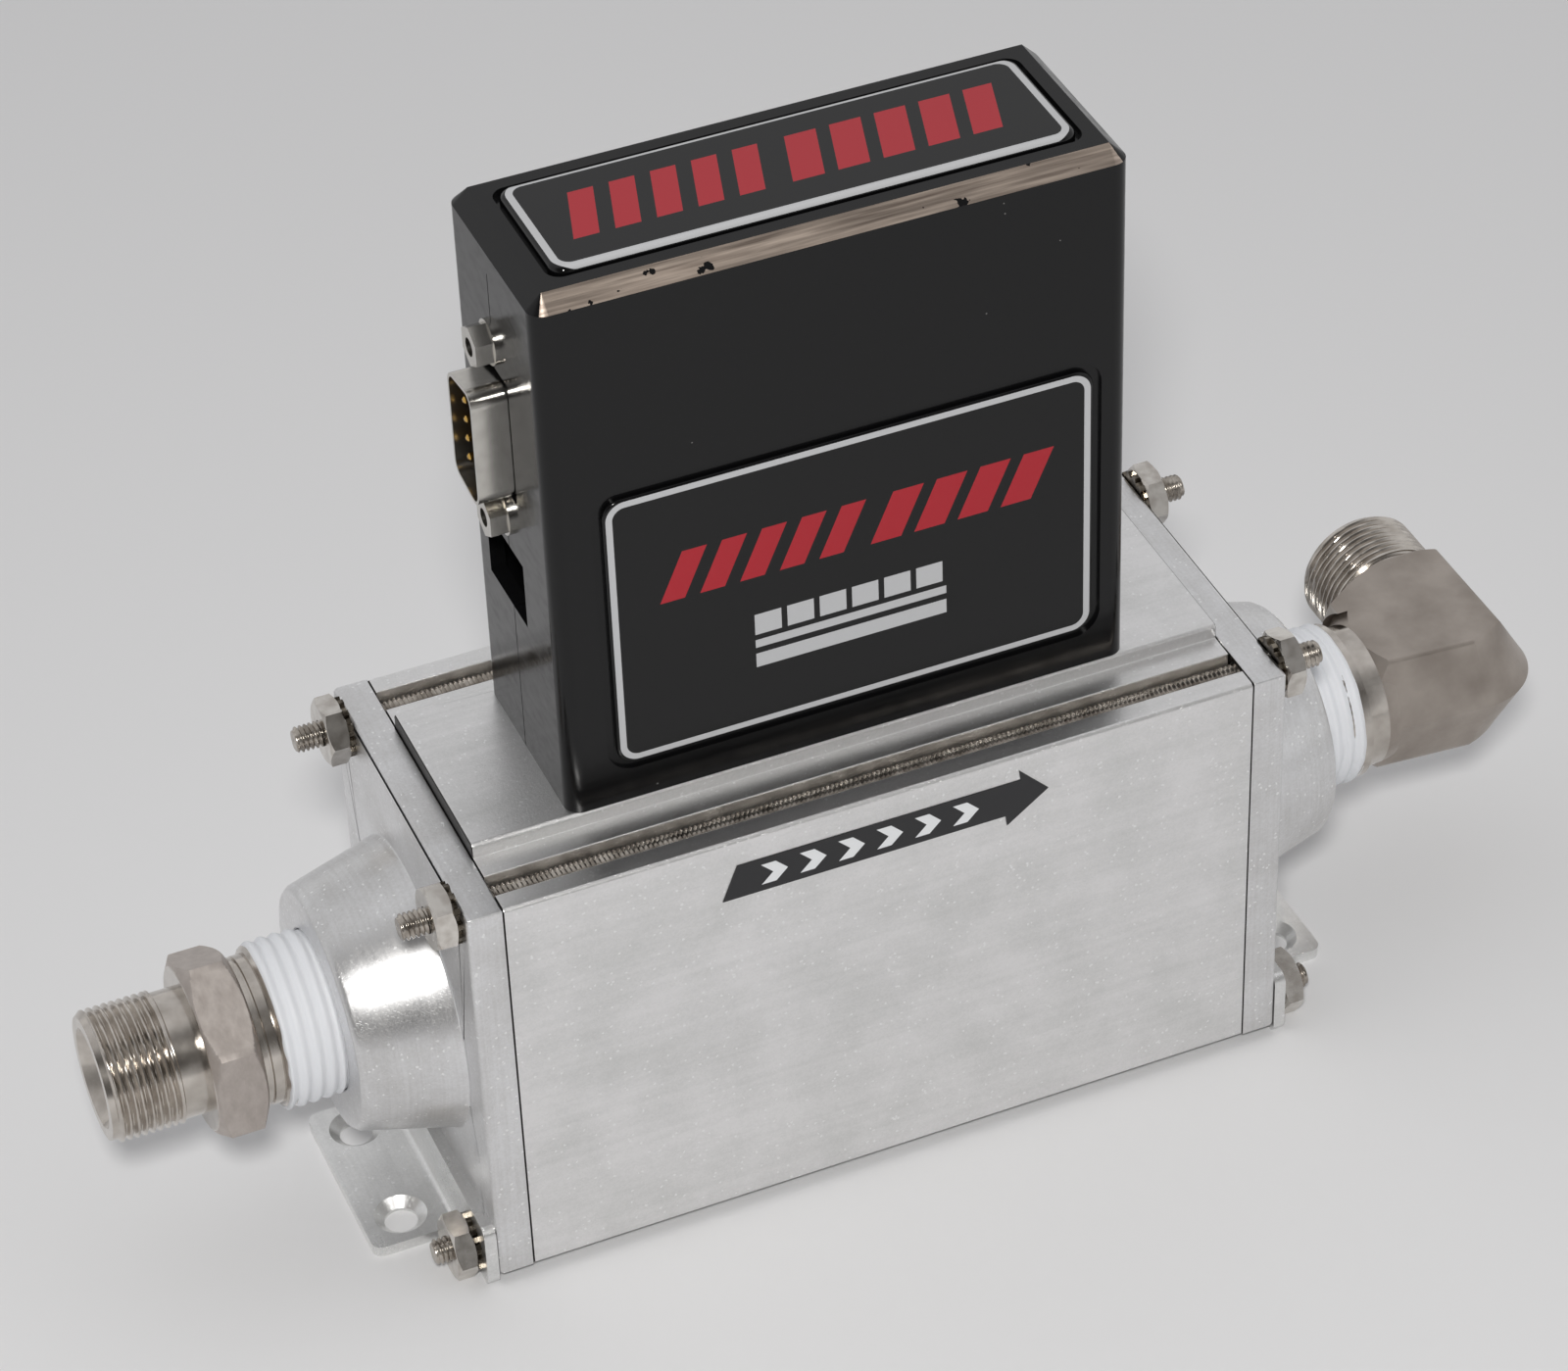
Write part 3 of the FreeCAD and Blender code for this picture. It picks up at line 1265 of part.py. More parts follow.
def circuit_board():
    """Upright board in the seam's plane, notched behind the plug."""
    owner = new_piece("circuit_board")
    low = f"({PLATFORM_TOP} + board_low)"
    high = f"({CASE_TOP} - board_below_top)"
    left = f"({CASE_LEFT} + board_inset)"
    right = "(case_length / 2 - case_wall - board_edge_gap)"
    front = "(case_seam_y - board_thickness / 2)"
    add_box(owner, left, right, front, f"{front} + board_thickness", low, high)
    notch_low = f"({PLUG_Z} - plug_flange_height / 2 - board_notch_gap)"
    cut_box(owner, f"{left} - overrun", f"{CASE_LEFT} + board_notch", f"{front} - overrun",
            f"{front} + board_thickness + overrun", notch_low, f"{high} + overrun")


def trimmers():
    """Two adjusting potentiometers on the board's front face, their screws towards the right."""
    for label, height in (("zero_trimmer", "zero_height"), ("span_trimmer", "span_height")):
        owner = new_piece(label)
        wall = "(case_length / 2 - case_wall)"
        right = f"({wall} - trimmer_screw_length)"
        front = "(case_seam_y - board_thickness / 2)"
        middle = f"({PLATFORM_TOP} + {height})"
        add_box(owner, f"{right} - trimmer_length", right, f"{front} - trimmer_depth", front,
                f"{middle} - trimmer_height / 2", f"{middle} + trimmer_height / 2")
        screw = new_sketch(owner, "YZ_Plane", right)
        circle(screw, f"{front} - trimmer_depth / 2", middle, "trimmer_screw_radius")
        pad(owner, screw, "trimmer_screw_length - trimmer_screw_short")


def case_screws(screw):
    """Four screws through the housing's floor into the platform."""
    identity = FreeCAD.Rotation()
    copies("case_screws", screw, [
        (f"{side}case_screw_x", f"{row}case_screw_y", f"{PLATFORM_TOP} + case_floor", identity)
        for side in ("", "-") for row in ("", "-")])


def build():
    fill_sheet()
    flow_body()
    end_plate("inlet_end_plate", turned=True)
    end_plate("outlet_end_plate", turned=False)
    end_seal("inlet_end_seal", "-")
    end_seal("outlet_end_seal", "")
    tie_rods()
    nuts_and_washers()
    foot_bracket("inlet_foot_bracket", turned=True)
    foot_bracket("outlet_foot_bracket", turned=False)
    inlet_fitting()
    tape_wrap("inlet_tape_wrap", turned=True)
    outlet_elbow()
    tape_wrap("outlet_tape_wrap", turned=False)
    flow_core()
    flow_spacers()
    inlet_screen()
    screw = screw_template()
    sensor_pieces(screw)
    case_half("case_front_half", rear=False)
    case_half("case_rear_half", rear=True)
    case_screws(screw)
    top_cap()
    top_label()
    front_label()
    flow_arrow_decal()
    plug_shell()
    plug_insulator()
    plug_pins()
    plug_screws()
    circuit_board()
    trimmers()
    doc.recompute()


def check():
    """Stop if any object failed or any piece has no sound shape."""
    faults = [thing.Label for thing in doc.Objects
              if any(word in ("Invalid", "Error") for word in thing.State)]
    faults += [piece.Label for piece in pieces
               if piece.Shape.isNull() or not piece.Shape.isValid() or not piece.Shape.Solids]
    if faults:
        raise RuntimeError("failed: " + ", ".join(faults))


def write():
    os.makedirs("parts", exist_ok=True)
    for piece in pieces:
        piece.Shape.exportStep(os.path.join("parts", f"{piece.Label}.step"))


build()
check()
write()
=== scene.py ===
import math

import bpy
import numpy as np
from mathutils import Matrix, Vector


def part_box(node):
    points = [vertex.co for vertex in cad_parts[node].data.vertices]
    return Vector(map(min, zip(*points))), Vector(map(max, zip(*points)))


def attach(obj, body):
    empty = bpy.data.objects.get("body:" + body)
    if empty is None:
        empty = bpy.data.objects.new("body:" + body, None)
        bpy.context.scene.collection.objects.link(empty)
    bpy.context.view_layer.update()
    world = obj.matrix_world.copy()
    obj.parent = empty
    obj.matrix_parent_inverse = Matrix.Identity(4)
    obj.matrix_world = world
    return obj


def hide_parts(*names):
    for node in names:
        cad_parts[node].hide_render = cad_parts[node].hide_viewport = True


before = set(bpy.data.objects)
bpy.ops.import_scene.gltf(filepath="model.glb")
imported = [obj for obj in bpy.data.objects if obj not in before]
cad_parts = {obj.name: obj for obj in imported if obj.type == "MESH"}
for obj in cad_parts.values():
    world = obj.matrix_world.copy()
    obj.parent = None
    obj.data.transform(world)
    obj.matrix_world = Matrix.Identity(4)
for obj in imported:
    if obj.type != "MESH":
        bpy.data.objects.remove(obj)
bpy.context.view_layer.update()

# The camera stands in front, to the left and above, as a close-up with a long lens: it was
# solved from the block's and the housing's straight edges, 0.57 m from the object.
camera_right = (0.91944, -0.39192, -0.03205)
camera_down = (-0.26956, -0.56883, -0.77702)
camera_ahead = (0.28630, 0.72307, -0.62865)
camera_place = (-0.18656, -0.46276, 0.46494)
focal_pixels, picture_width = 5143.24, 1600
lens = bpy.data.cameras.new("long_lens")
lens.sensor_width = 36.0
lens.lens = lens.sensor_width * focal_pixels / picture_width
lens.clip_start = 0.05
lens.clip_end = 20.0
camera = bpy.data.objects.new("camera", lens)
turn = np.array([camera_right, [-v for v in camera_down], [-v for v in camera_ahead]]).T
camera.matrix_world = Matrix.Translation(camera_place) @ Matrix(turn.tolist()).to_4x4()
bpy.context.scene.collection.objects.link(camera)
bpy.context.scene.camera = camera
bpy.context.scene.view_settings.view_transform = "Standard"


# The stage is a sheet of white paper in a pale room, with one small soft lamp just above and
# left of the lens, so that shadows are narrow. The room is dark round the photographer.
def linear(code):
    """An sRGB hex colour as linear light: a power of 2.4 above a short straight foot."""
    channels = np.array([int(code[i:i + 2], 16) for i in (1, 3, 5)]) / 255
    light = np.where(channels <= 0.04045, channels / 12.92, ((channels + 0.055) / 1.055) ** 2.4)
    return (*light.tolist(), 1.0)


def add_node(tree, kind, sockets=None, **settings):
    """Add a node: settings are its properties, sockets are values or the outputs linked to them."""
    made = tree.nodes.new(kind)
    for name, value in settings.items():
        setattr(made, name, value)
    for name, value in (sockets or {}).items():
        if isinstance(value, bpy.types.NodeSocket):
            tree.links.new(value, made.inputs[name])
        else:
            made.inputs[name].default_value = value
    return made


def new_material(name, **constants):
    """A material with one shader, its constants on the shader's own sockets."""
    material = bpy.data.materials.new(name)
    material.use_nodes = True
    tree = material.node_tree
    shader = tree.nodes["Principled BSDF"]
    for socket, value in constants.items():
        shader.inputs[socket.replace("_", " ")].default_value = value
    place = add_node(tree, "ShaderNodeTexCoord").outputs["Object"]
    return material, tree, shader, place


floor_mesh = bpy.data.meshes.new("paper_floor")
floor_reach = 6.0
floor_mesh.from_pydata([(-floor_reach, -floor_reach, 0), (floor_reach, -floor_reach, 0),
                        (floor_reach, floor_reach, 0), (-floor_reach, floor_reach, 0)],
                       [], [(0, 1, 2, 3)])
floor = bpy.data.objects.new("paper_floor", floor_mesh)
bpy.context.scene.collection.objects.link(floor)
# matt white paper: it gives the eye only its tone and the soft shadow under the object
paper, tree, shader, place = new_material("matt_white_paper", Roughness=0.9)
shader.inputs["Base Color"].default_value = linear("#e4e4e5")
shader.inputs["Specular IOR Level"].default_value = 0.1
floor_mesh.materials.append(paper)

world = bpy.data.worlds.new("pale_room")
bpy.context.scene.world = world
world.use_nodes = True
tree = world.node_tree
tree.nodes.clear()
direction = add_node(tree, "ShaderNodeTexCoord").outputs["Generated"]
parts = add_node(tree, "ShaderNodeSeparateXYZ", {0: direction})
room = add_node(tree, "ShaderNodeValToRGB", {0: parts.outputs["Z"]})
room.color_ramp.elements[0].color = linear("#e2e2e2")
room.color_ramp.elements[1].color = linear("#dededf")
for step, tone in ((0.12, "#e0e0e0"), (0.45, "#cfcfd0"), (0.75, "#d0d0d1")):
    room.color_ramp.elements.new(step).color = linear(tone)
toward = add_node(tree, "ShaderNodeVectorMath",
                  {0: direction, 1: tuple(-v for v in camera_ahead)}, operation="DOT_PRODUCT")
dim = add_node(tree, "ShaderNodeMapRange", {"Value": toward.outputs["Value"], "From Min": 0.55,
                                            "From Max": 0.85})
walls = add_node(tree, "ShaderNodeMix", {"Factor": dim.outputs[0], "A": room.outputs[0]},
                 data_type="RGBA")
walls.inputs["B"].default_value = linear("#565452")
pale = add_node(tree, "ShaderNodeBackground", {"Color": walls.outputs["Result"], "Strength": 1.0})
add_node(tree, "ShaderNodeOutputWorld", {"Surface": pale.outputs[0]})

flash = bpy.data.lights.new("lens_softbox", "AREA")
flash.shape = "DISK"
flash.size = 0.09
flash.energy = 3.6
flash.color = (1.0, 0.99, 0.97)
lamp = bpy.data.objects.new("lens_softbox", flash)
behind_lens, above_lens, left_of_lens = 0.16, 0.070, 0.014
spot = (np.array(camera_place) - behind_lens * np.array(camera_ahead)
        - above_lens * np.array(camera_down) - left_of_lens * np.array(camera_right))
lamp.matrix_world = Matrix.Translation(spot.tolist()) @ Matrix(turn.tolist()).to_4x4()
bpy.context.scene.collection.objects.link(lamp)


# The flow body is a block sawn from an extruded aluminium bar, bored from end to end, blasted
# and cleared. The end plates are cast with their pipe bosses and stand tight on its sawn ends.
def dress(node, material):
    """Give a CAD node one material in every slot."""
    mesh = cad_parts[node].data
    if not mesh.materials:
        mesh.materials.append(material)
    for i in range(len(mesh.materials)):
        mesh.materials[i] = material


def blasted_aluminium(name, dark, light, smooth, rough, streaks):
    """Satin aluminium: cloudy over 12 mm, with grit marks 0.28 mm across, a few of them painted
    near-white as glints of light, streaks along one way, and a fine dark joint where the plates
    meet the block."""
    joint_half_width = 0.00012
    painted_glint_share = 0.015
    material, tree, shader, place = new_material(name, Metallic=1.0)
    clouds = add_node(tree, "ShaderNodeTexNoise", {"Vector": place, "Scale": 85.0,
                                                   "Detail": 6.0, "Roughness": 0.6})
    combed = add_node(tree, "ShaderNodeMapping", {"Vector": place, "Scale": streaks})
    lines = add_node(tree, "ShaderNodeTexNoise", {"Vector": combed.outputs[0], "Scale": 1.0,
                                                  "Detail": 3.0})
    grit = add_node(tree, "ShaderNodeTexVoronoi", {"Vector": place, "Scale": 3600.0})
    chance = add_node(tree, "ShaderNodeSeparateColor", {0: grit.outputs["Color"]})
    tone = add_node(tree, "ShaderNodeMath", {0: lines.outputs[0], 1: 0.35, 2: clouds.outputs[0]},
                    operation="MULTIPLY_ADD")
    tone = add_node(tree, "ShaderNodeMath", {0: chance.outputs[0], 1: 0.14, 2: tone.outputs[0]},
                    operation="MULTIPLY_ADD")
    ramp = add_node(tree, "ShaderNodeValToRGB", {0: tone.outputs[0]})
    ramp.color_ramp.elements[0].position = 0.5
    ramp.color_ramp.elements[0].color = linear(dark)
    ramp.color_ramp.elements[1].position = 0.92
    ramp.color_ramp.elements[1].color = linear(light)
    # painted glints: a small share of the grit cells gets a near-white colour in place of a glint
    # of light
    painted_glint_mask = add_node(tree, "ShaderNodeMath", {0: chance.outputs[1], 1: 1 - painted_glint_share},
                     operation="GREATER_THAN")
    with_painted_glints = add_node(tree, "ShaderNodeMix", {"Factor": painted_glint_mask.outputs[0], "A": ramp.outputs[0]},
                     data_type="RGBA")
    with_painted_glints.inputs["B"].default_value = linear("#f4f4f4")
    xyz = add_node(tree, "ShaderNodeSeparateXYZ", {0: place})
    out = add_node(tree, "ShaderNodeMath", {0: xyz.outputs["X"]}, operation="ABSOLUTE")
    joint = add_node(tree, "ShaderNodeMath", {0: out.outputs[0], 1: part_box("flow_body")[1].x,
                                              2: joint_half_width}, operation="COMPARE")
    joined = add_node(tree, "ShaderNodeMix", {"Factor": joint.outputs[0],
                                              "A": with_painted_glints.outputs["Result"]}, data_type="RGBA")
    joined.inputs["B"].default_value = linear("#3c3a38")
    tree.links.new(joined.outputs["Result"], shader.inputs["Base Color"])
    gloss = add_node(tree, "ShaderNodeMapRange", {"Value": tone.outputs[0], "From Min": 0.5,
                                                  "From Max": 0.95, "To Min": rough,
                                                  "To Max": smooth})
    tree.links.new(gloss.outputs[0], shader.inputs["Roughness"])
    relief = add_node(tree, "ShaderNodeBump", {"Height": chance.outputs[2], "Strength": 0.35,
                                               "Distance": 0.00004})
    tree.links.new(relief.outputs[0], shader.inputs["Normal"])
    return material


def merged_triangles(node):
    """The CAD node's corner places and its triangles, with corners at one place made one."""
    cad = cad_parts[node].data
    spots = np.zeros(3 * len(cad.vertices))
    cad.vertices.foreach_get("co", spots)
    corners = np.zeros(len(cad.loops), int)
    cad.loops.foreach_get("vertex_index", corners)
    spots, merged = np.unique(np.round(spots.reshape(-1, 3), 7), axis=0, return_inverse=True)
    return spots, merged.reshape(-1)[corners].reshape(-1, 3)


def eased_copy(node, name, width):
    """The CAD node's own triangles, its sharp edges eased by a narrow rounding that catches the
    light, and normals weighted by area so that flats stay flat."""
    spots, triangles = merged_triangles(node)
    solid = ((triangles[:, 0] != triangles[:, 1]) & (triangles[:, 1] != triangles[:, 2])
             & (triangles[:, 2] != triangles[:, 0]))
    mesh = bpy.data.meshes.new(name)
    mesh.from_pydata(spots.tolist(), [], triangles[solid].tolist())
    mesh.polygons.foreach_set("use_smooth", np.ones(len(mesh.polygons), bool))
    mesh.update()
    made = bpy.data.objects.new(name, mesh)
    bpy.context.scene.collection.objects.link(made)
    easing = made.modifiers.new("eased_edges", "BEVEL")
    easing.width = width
    easing.segments = 2
    easing.limit_method = "ANGLE"
    easing.angle_limit = math.radians(40)
    easing.use_clamp_overlap = False
    flats = made.modifiers.new("flat_faces", "WEIGHTED_NORMAL")
    flats.mode = "FACE_AREA"
    flats.weight = 90
    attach(made, "root")
    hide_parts(node)
    return made


# extruded aluminium, blasted: a pale, cloudy satin with faint lines along the bar
block = eased_copy("flow_body", "sawn_flow_block", 0.00018)
block.data.materials.append(blasted_aluminium("blasted_extruded_aluminium", "#dbdbda", "#ecebeb",
                                              0.30, 0.42, (20, 900, 900)))
# cast aluminium, turned: a little darker and smoother, with faint rings round the boss
turned_plate = blasted_aluminium("turned_cast_aluminium", "#d0cfce", "#e6e6e7", 0.28, 0.40,
                                 (2600, 50, 50))
for end in ("inlet", "outlet"):
    plate = eased_copy(f"{end}_end_plate", f"{end}_bossed_plate", 0.00025)
    plate.data.materials.append(turned_plate)
# rolled aluminium sheet, folded into the feet that the lower nuts clamp
rolled_sheet = blasted_aluminium("rolled_aluminium_sheet", "#dcdcdb", "#eeeeed", 0.26, 0.38,
                                 (2200, 60, 2200))
for node in ("inlet_foot_bracket", "outlet_foot_bracket"):
    dress(node, rolled_sheet)

# Rubber rings seal the end plates in the block's end faces and the sensor on its two ports.
# nitrile rubber, moulded: matt black with a faint bloom
rubber, tree, shader, place = new_material("moulded_nitrile_rubber", Roughness=0.6)
bloom = add_node(tree, "ShaderNodeTexNoise", {"Vector": place, "Scale": 900.0, "Detail": 3.0})
ramp = add_node(tree, "ShaderNodeValToRGB", {0: bloom.outputs[0]})
ramp.color_ramp.elements[0].color = linear("#141414")
ramp.color_ramp.elements[1].color = linear("#262626")
tree.links.new(ramp.outputs[0], shader.inputs["Base Color"])
for node in ("inlet_end_seal", "outlet_end_seal", "sensor_port_seals"):
    dress(node, rubber)


# Four threaded rods, 3.5 mm thick with 40 threads to the inch, run in the block's corner slots.
# The thread is rolled into drawn stainless wire and catches dirt in its roots.
rod_radius = 0.00175
rod_root = 0.00138
rod_threads_per_inch = 40
rod_pitch = 0.0254 / rod_threads_per_inch
rod_bevel = 0.0004


def solid_from_grid(name, points, faces):
    """A mesh object from an (n, 3) array of points and an (m, 4) array of corners."""
    mesh = bpy.data.meshes.new(name)
    mesh.from_pydata(points.tolist(), [], faces.tolist())
    mesh.polygons.foreach_set("use_smooth", np.ones(len(mesh.polygons), bool))
    mesh.update()
    made = bpy.data.objects.new(name, mesh)
    bpy.context.scene.collection.objects.link(made)
    return made


def threaded_rod(start, end, across, up, slices=20):
    """A screw thread as one strip wound on the rod. With turns t and thread width w from 0 to 1,
    the strip is at pitch * (t + w) along the axis and at angle 360 degrees * t, its radius the
    root's or the crest's by w. Past each end it runs down the end face to the axis."""
    widths = np.array([-0.06, 0.07, 0.44, 0.57])
    crest = np.array([0.0, 0.0, 1.0, 1.0])
    over = rod_radius
    turns = (end - start + 2 * over) / rod_pitch
    count = int(turns * slices)
    step, band = np.meshgrid(np.arange(count + slices), np.arange(4), indexing="ij")
    along = -over + rod_pitch * (step / slices + widths[band])
    radius = rod_root + (rod_radius - rod_root) * crest[band]
    length = end - start
    inside = np.minimum(along, length - along)
    limit = np.where(inside > 0, rod_radius - rod_bevel + np.minimum(inside, rod_bevel),
                     np.maximum(rod_radius - rod_bevel + inside, 0))
    radius = np.minimum(radius, limit)
    angle = 2 * np.pi * step / slices
    points = np.stack([start + np.clip(along, 0, length), across + radius * np.cos(angle),
                       up + radius * np.sin(angle)], axis=-1).reshape(-1, 3)
    first, lane = np.meshgrid(np.arange(count - 1), np.arange(4), indexing="ij")
    here = first * 4 + lane
    beside = np.where(lane < 3, here + 1, (first + slices) * 4)
    faces = np.stack([here, here + 4, beside + 4, beside], axis=-1).reshape(-1, 4)
    return points, faces


# drawn stainless steel with a rolled thread: bright and brownish greys, and the gloss, varied at
# random
rod_steel, tree, shader, place = new_material("rolled_stainless_thread", Metallic=1.0)
grime = add_node(tree, "ShaderNodeTexNoise", {"Vector": place, "Scale": 600.0, "Detail": 3.0})
ramp = add_node(tree, "ShaderNodeValToRGB", {0: grime.outputs[0]})
ramp.color_ramp.elements[0].position = 0.35
ramp.color_ramp.elements[0].color = linear("#8d857c")
ramp.color_ramp.elements[1].position = 0.65
ramp.color_ramp.elements[1].color = linear("#c4bdb4")
tree.links.new(ramp.outputs[0], shader.inputs["Base Color"])
gloss = add_node(tree, "ShaderNodeMapRange", {"Value": grime.outputs[0], "To Min": 0.14,
                                              "To Max": 0.34})
tree.links.new(gloss.outputs[0], shader.inputs["Roughness"])
for corner in ("front_lower", "front_upper", "rear_lower", "rear_upper"):
    low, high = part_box(f"tie_rod_{corner}")
    rod = solid_from_grid(f"threaded_rod_{corner}", *threaded_rod(
        low.x, high.x, (low.y + high.y) / 2, (low.z + high.z) / 2))
    rod.data.materials.append(rod_steel)
    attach(rod, "root")
    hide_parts(f"tie_rod_{corner}")

# Hexagon nuts and toothed washers hold the rods: bright nuts, darker spring-steel washers.
# turned stainless nuts: bright flats, only lightly marked
nut_steel, tree, shader, place = new_material("bright_turned_nuts", Metallic=1.0)
marks = add_node(tree, "ShaderNodeTexNoise", {"Vector": place, "Scale": 500.0, "Detail": 3.0})
ramp = add_node(tree, "ShaderNodeValToRGB", {0: marks.outputs[0]})
ramp.color_ramp.elements[0].position = 0.35
ramp.color_ramp.elements[0].color = linear("#bdb7b0")
ramp.color_ramp.elements[1].position = 0.6
ramp.color_ramp.elements[1].color = linear("#d8d4ce")
tree.links.new(ramp.outputs[0], shader.inputs["Base Color"])
gloss = add_node(tree, "ShaderNodeMapRange", {"Value": marks.outputs[0], "To Min": 0.12,
                                              "To Max": 0.26})
tree.links.new(gloss.outputs[0], shader.inputs["Roughness"])
for node in ("inlet_tie_rod_nuts", "outlet_tie_rod_nuts", "sensor_screws", "case_screws"):
    dress(node, nut_steel)
# spring steel toothed washers: darker, oily
washer_steel, tree, shader, place = new_material("dark_spring_steel", Metallic=1.0)
oil = add_node(tree, "ShaderNodeTexNoise", {"Vector": place, "Scale": 700.0, "Detail": 2.0})
ramp = add_node(tree, "ShaderNodeValToRGB", {0: oil.outputs[0]})
ramp.color_ramp.elements[0].position = 0.35
ramp.color_ramp.elements[0].color = linear("#3a342d")
ramp.color_ramp.elements[1].position = 0.68
ramp.color_ramp.elements[1].color = linear("#8f877b")
tree.links.new(ramp.outputs[0], shader.inputs["Base Color"])
shader.inputs["Roughness"].default_value = 0.22
for node in ("inlet_lock_washers", "outlet_lock_washers"):
    dress(node, washer_steel)


# The inlet fitting is turned from hexagon bar: a taper thread in the boss, a relief, the hexagon,
# a neck, and a straight thread for the tube nut round a flared socket.
tube_pitch = 0.00100
tube_depth = 0.00058
tube_thread_radius = 0.00873
tube_bevel = 0.0008
tube_end_radius = 0.0081
tube_neck_radius = 0.0083
tube_runout_radius = 0.0085
flare_radius = 0.0066
flare_depth = 0.0026
socket_radius = 0.00485
hexagon_flats = 0.0222


def hexagon_radius(angle, flats):
    """Distance from the centre to a hexagon with corners up and down, by angle from upright."""
    swing = (angle + np.pi / 6) % (np.pi / 3) - np.pi / 6
    return flats / 2 / np.cos(np.abs(np.abs(swing) - np.pi / 6))


def thread_cut(along, angle, length):
    """How deep the tube thread is cut at a place along it: straight flanks between a short root
    and crest, turning with the angle, and running out over 0.7 mm at its inner end."""
    saw = np.abs((along / tube_pitch + angle / (2 * np.pi)) % 1 * 2 - 1)
    wave = np.clip((saw - 0.1) / 0.7, 0, 1)
    return tube_depth * (1 - wave) * np.clip((length - along) / 0.0007, 0, 1)


def ring_faces(rings, slices):
    """Corners of a grid of rings closed round and closed from the last ring to the first."""
    ring, slice_ = np.meshgrid(np.arange(rings), np.arange(slices), indexing="ij")
    after = (ring + 1) % rings
    beside = (slice_ + 1) % slices
    return np.stack([ring * slices + slice_, after * slices + slice_, after * slices + beside,
                     ring * slices + beside], axis=-1).reshape(-1, 4)


def inlet_connector(slices=144):
    """Rings along a closed profile of axial place and radius. Where the profile is marked hex the
    radius is the hexagon's, cut by the 30 degree cone of its corners; where it is marked thread a
    helical wave is cut into it."""
    body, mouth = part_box("inlet_fitting")
    bore_z = (body.z + mouth.z) / 2
    end = body.x
    run = mouth.x - end
    thread_length = 0.0086
    neck = tube_bevel + thread_length
    hex_b = neck + 0.0035
    hex_a = hex_b + 0.0068
    relief = hex_a + 0.0025
    profile = [(run, 0.0040, 0), (run, 0.01011, 0), (relief + 0.0079, 0.01045, 0),
               (relief + 0.0004, 0.01064, 0), (relief, 0.0102, 0), (relief, 0.0098, 0),
               (hex_a + 0.0012, 0.0098, 0), (hex_a + 0.0011, 0.0094, 0),
               (hex_a + 0.0008, 0.0094, 0), (hex_a + 0.0007, 0.0098, 0), (hex_a, 0.0098, 0)]
    chamfer = np.linspace(0, 0.0013, 14)
    profile += [(x, 0.0, 1) for x in (*(hex_a - chamfer), *(hex_b + chamfer)[::-1])]
    profile += [(hex_b, tube_neck_radius, 0), (neck + 0.0002, tube_neck_radius, 0),
                (neck, tube_runout_radius, 0)]
    profile += [(x, tube_thread_radius, 2) for x in np.linspace(neck, tube_bevel, 90)]
    profile += [(0.0, tube_end_radius, 0), (0.0, flare_radius, 0), (flare_depth, socket_radius, 0),
                (0.0120, socket_radius, 0), (0.0120, 0.0040, 0)]
    along, radius, kind = (np.array(column)[:, None] for column in zip(*profile))
    angle = np.linspace(0, 2 * np.pi, slices, endpoint=False)[None, :]
    corner_cone = 0.01066 + np.minimum(along - hex_b, hex_a - along) * math.tan(math.radians(60))
    hexed = np.minimum(hexagon_radius(angle, hexagon_flats), np.maximum(corner_cone, 0.0098))
    cut = radius - thread_cut(along, angle, neck)
    reach = np.where(kind == 1, hexed, np.where(kind == 2, cut, radius + 0 * angle))
    points = np.stack([end + along + 0 * angle, reach * np.sin(angle),
                       bore_z + reach * np.cos(angle)], axis=-1).reshape(-1, 3)
    return points, ring_faces(len(profile), slices)


# turned stainless steel: warm grey, bright on the turned zones, smudged at random
fitting_steel, tree, shader, place = new_material("turned_stainless_steel", Metallic=1.0)
smudge = add_node(tree, "ShaderNodeTexNoise", {"Vector": place, "Scale": 350.0, "Detail": 4.0})
ramp = add_node(tree, "ShaderNodeValToRGB", {0: smudge.outputs[0]})
ramp.color_ramp.elements[0].position = 0.3
ramp.color_ramp.elements[0].color = linear("#b3aca4")
ramp.color_ramp.elements[1].position = 0.7
ramp.color_ramp.elements[1].color = linear("#d3cdc6")
tree.links.new(ramp.outputs[0], shader.inputs["Base Color"])
gloss = add_node(tree, "ShaderNodeMapRange", {"Value": smudge.outputs[0], "To Min": 0.12,
                                              "To Max": 0.26})
tree.links.new(gloss.outputs[0], shader.inputs["Roughness"])
# rolled hexagon bar: the flats keep a dull, scratched, slightly pinkish skin
bar_skin, tree, shader, place = new_material("rolled_hexagon_bar_skin", Metallic=1.0)
drawn = add_node(tree, "ShaderNodeMapping", {"Vector": place, "Scale": (700, 380, 380)})
scratches = add_node(tree, "ShaderNodeTexNoise", {"Vector": drawn.outputs[0], "Scale": 1.0,
                                                  "Detail": 5.0, "Roughness": 0.65})
ramp = add_node(tree, "ShaderNodeValToRGB", {0: scratches.outputs[0]})
ramp.color_ramp.elements[0].position = 0.32
ramp.color_ramp.elements[0].color = linear("#b3aaa4")
ramp.color_ramp.elements[1].position = 0.68
ramp.color_ramp.elements[1].color = linear("#c6beb8")
tree.links.new(ramp.outputs[0], shader.inputs["Base Color"])
gloss = add_node(tree, "ShaderNodeMapRange", {"Value": scratches.outputs[0], "To Min": 0.38,
                                              "To Max": 0.55})
tree.links.new(gloss.outputs[0], shader.inputs["Roughness"])
inlet = solid_from_grid("inlet_tube_connector", *inlet_connector())
inlet.data.materials.append(fitting_steel)
inlet.data.materials.append(bar_skin)
centres = np.zeros(3 * len(inlet.data.polygons))
inlet.data.polygons.foreach_get("center", centres)
centres = centres.reshape(-1, 3) - np.array([0, 0, sum(v.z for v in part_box("inlet_fitting")) / 2])
turned_radius = 0.0108
on_flat = np.hypot(centres[:, 1], centres[:, 2]) > turned_radius
inlet.data.polygons.foreach_set("material_index", on_flat.astype(int))
edges = inlet.modifiers.new("crisp_edges", "EDGE_SPLIT")
edges.split_angle = math.radians(22)
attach(inlet, "root")
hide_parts("inlet_fitting")


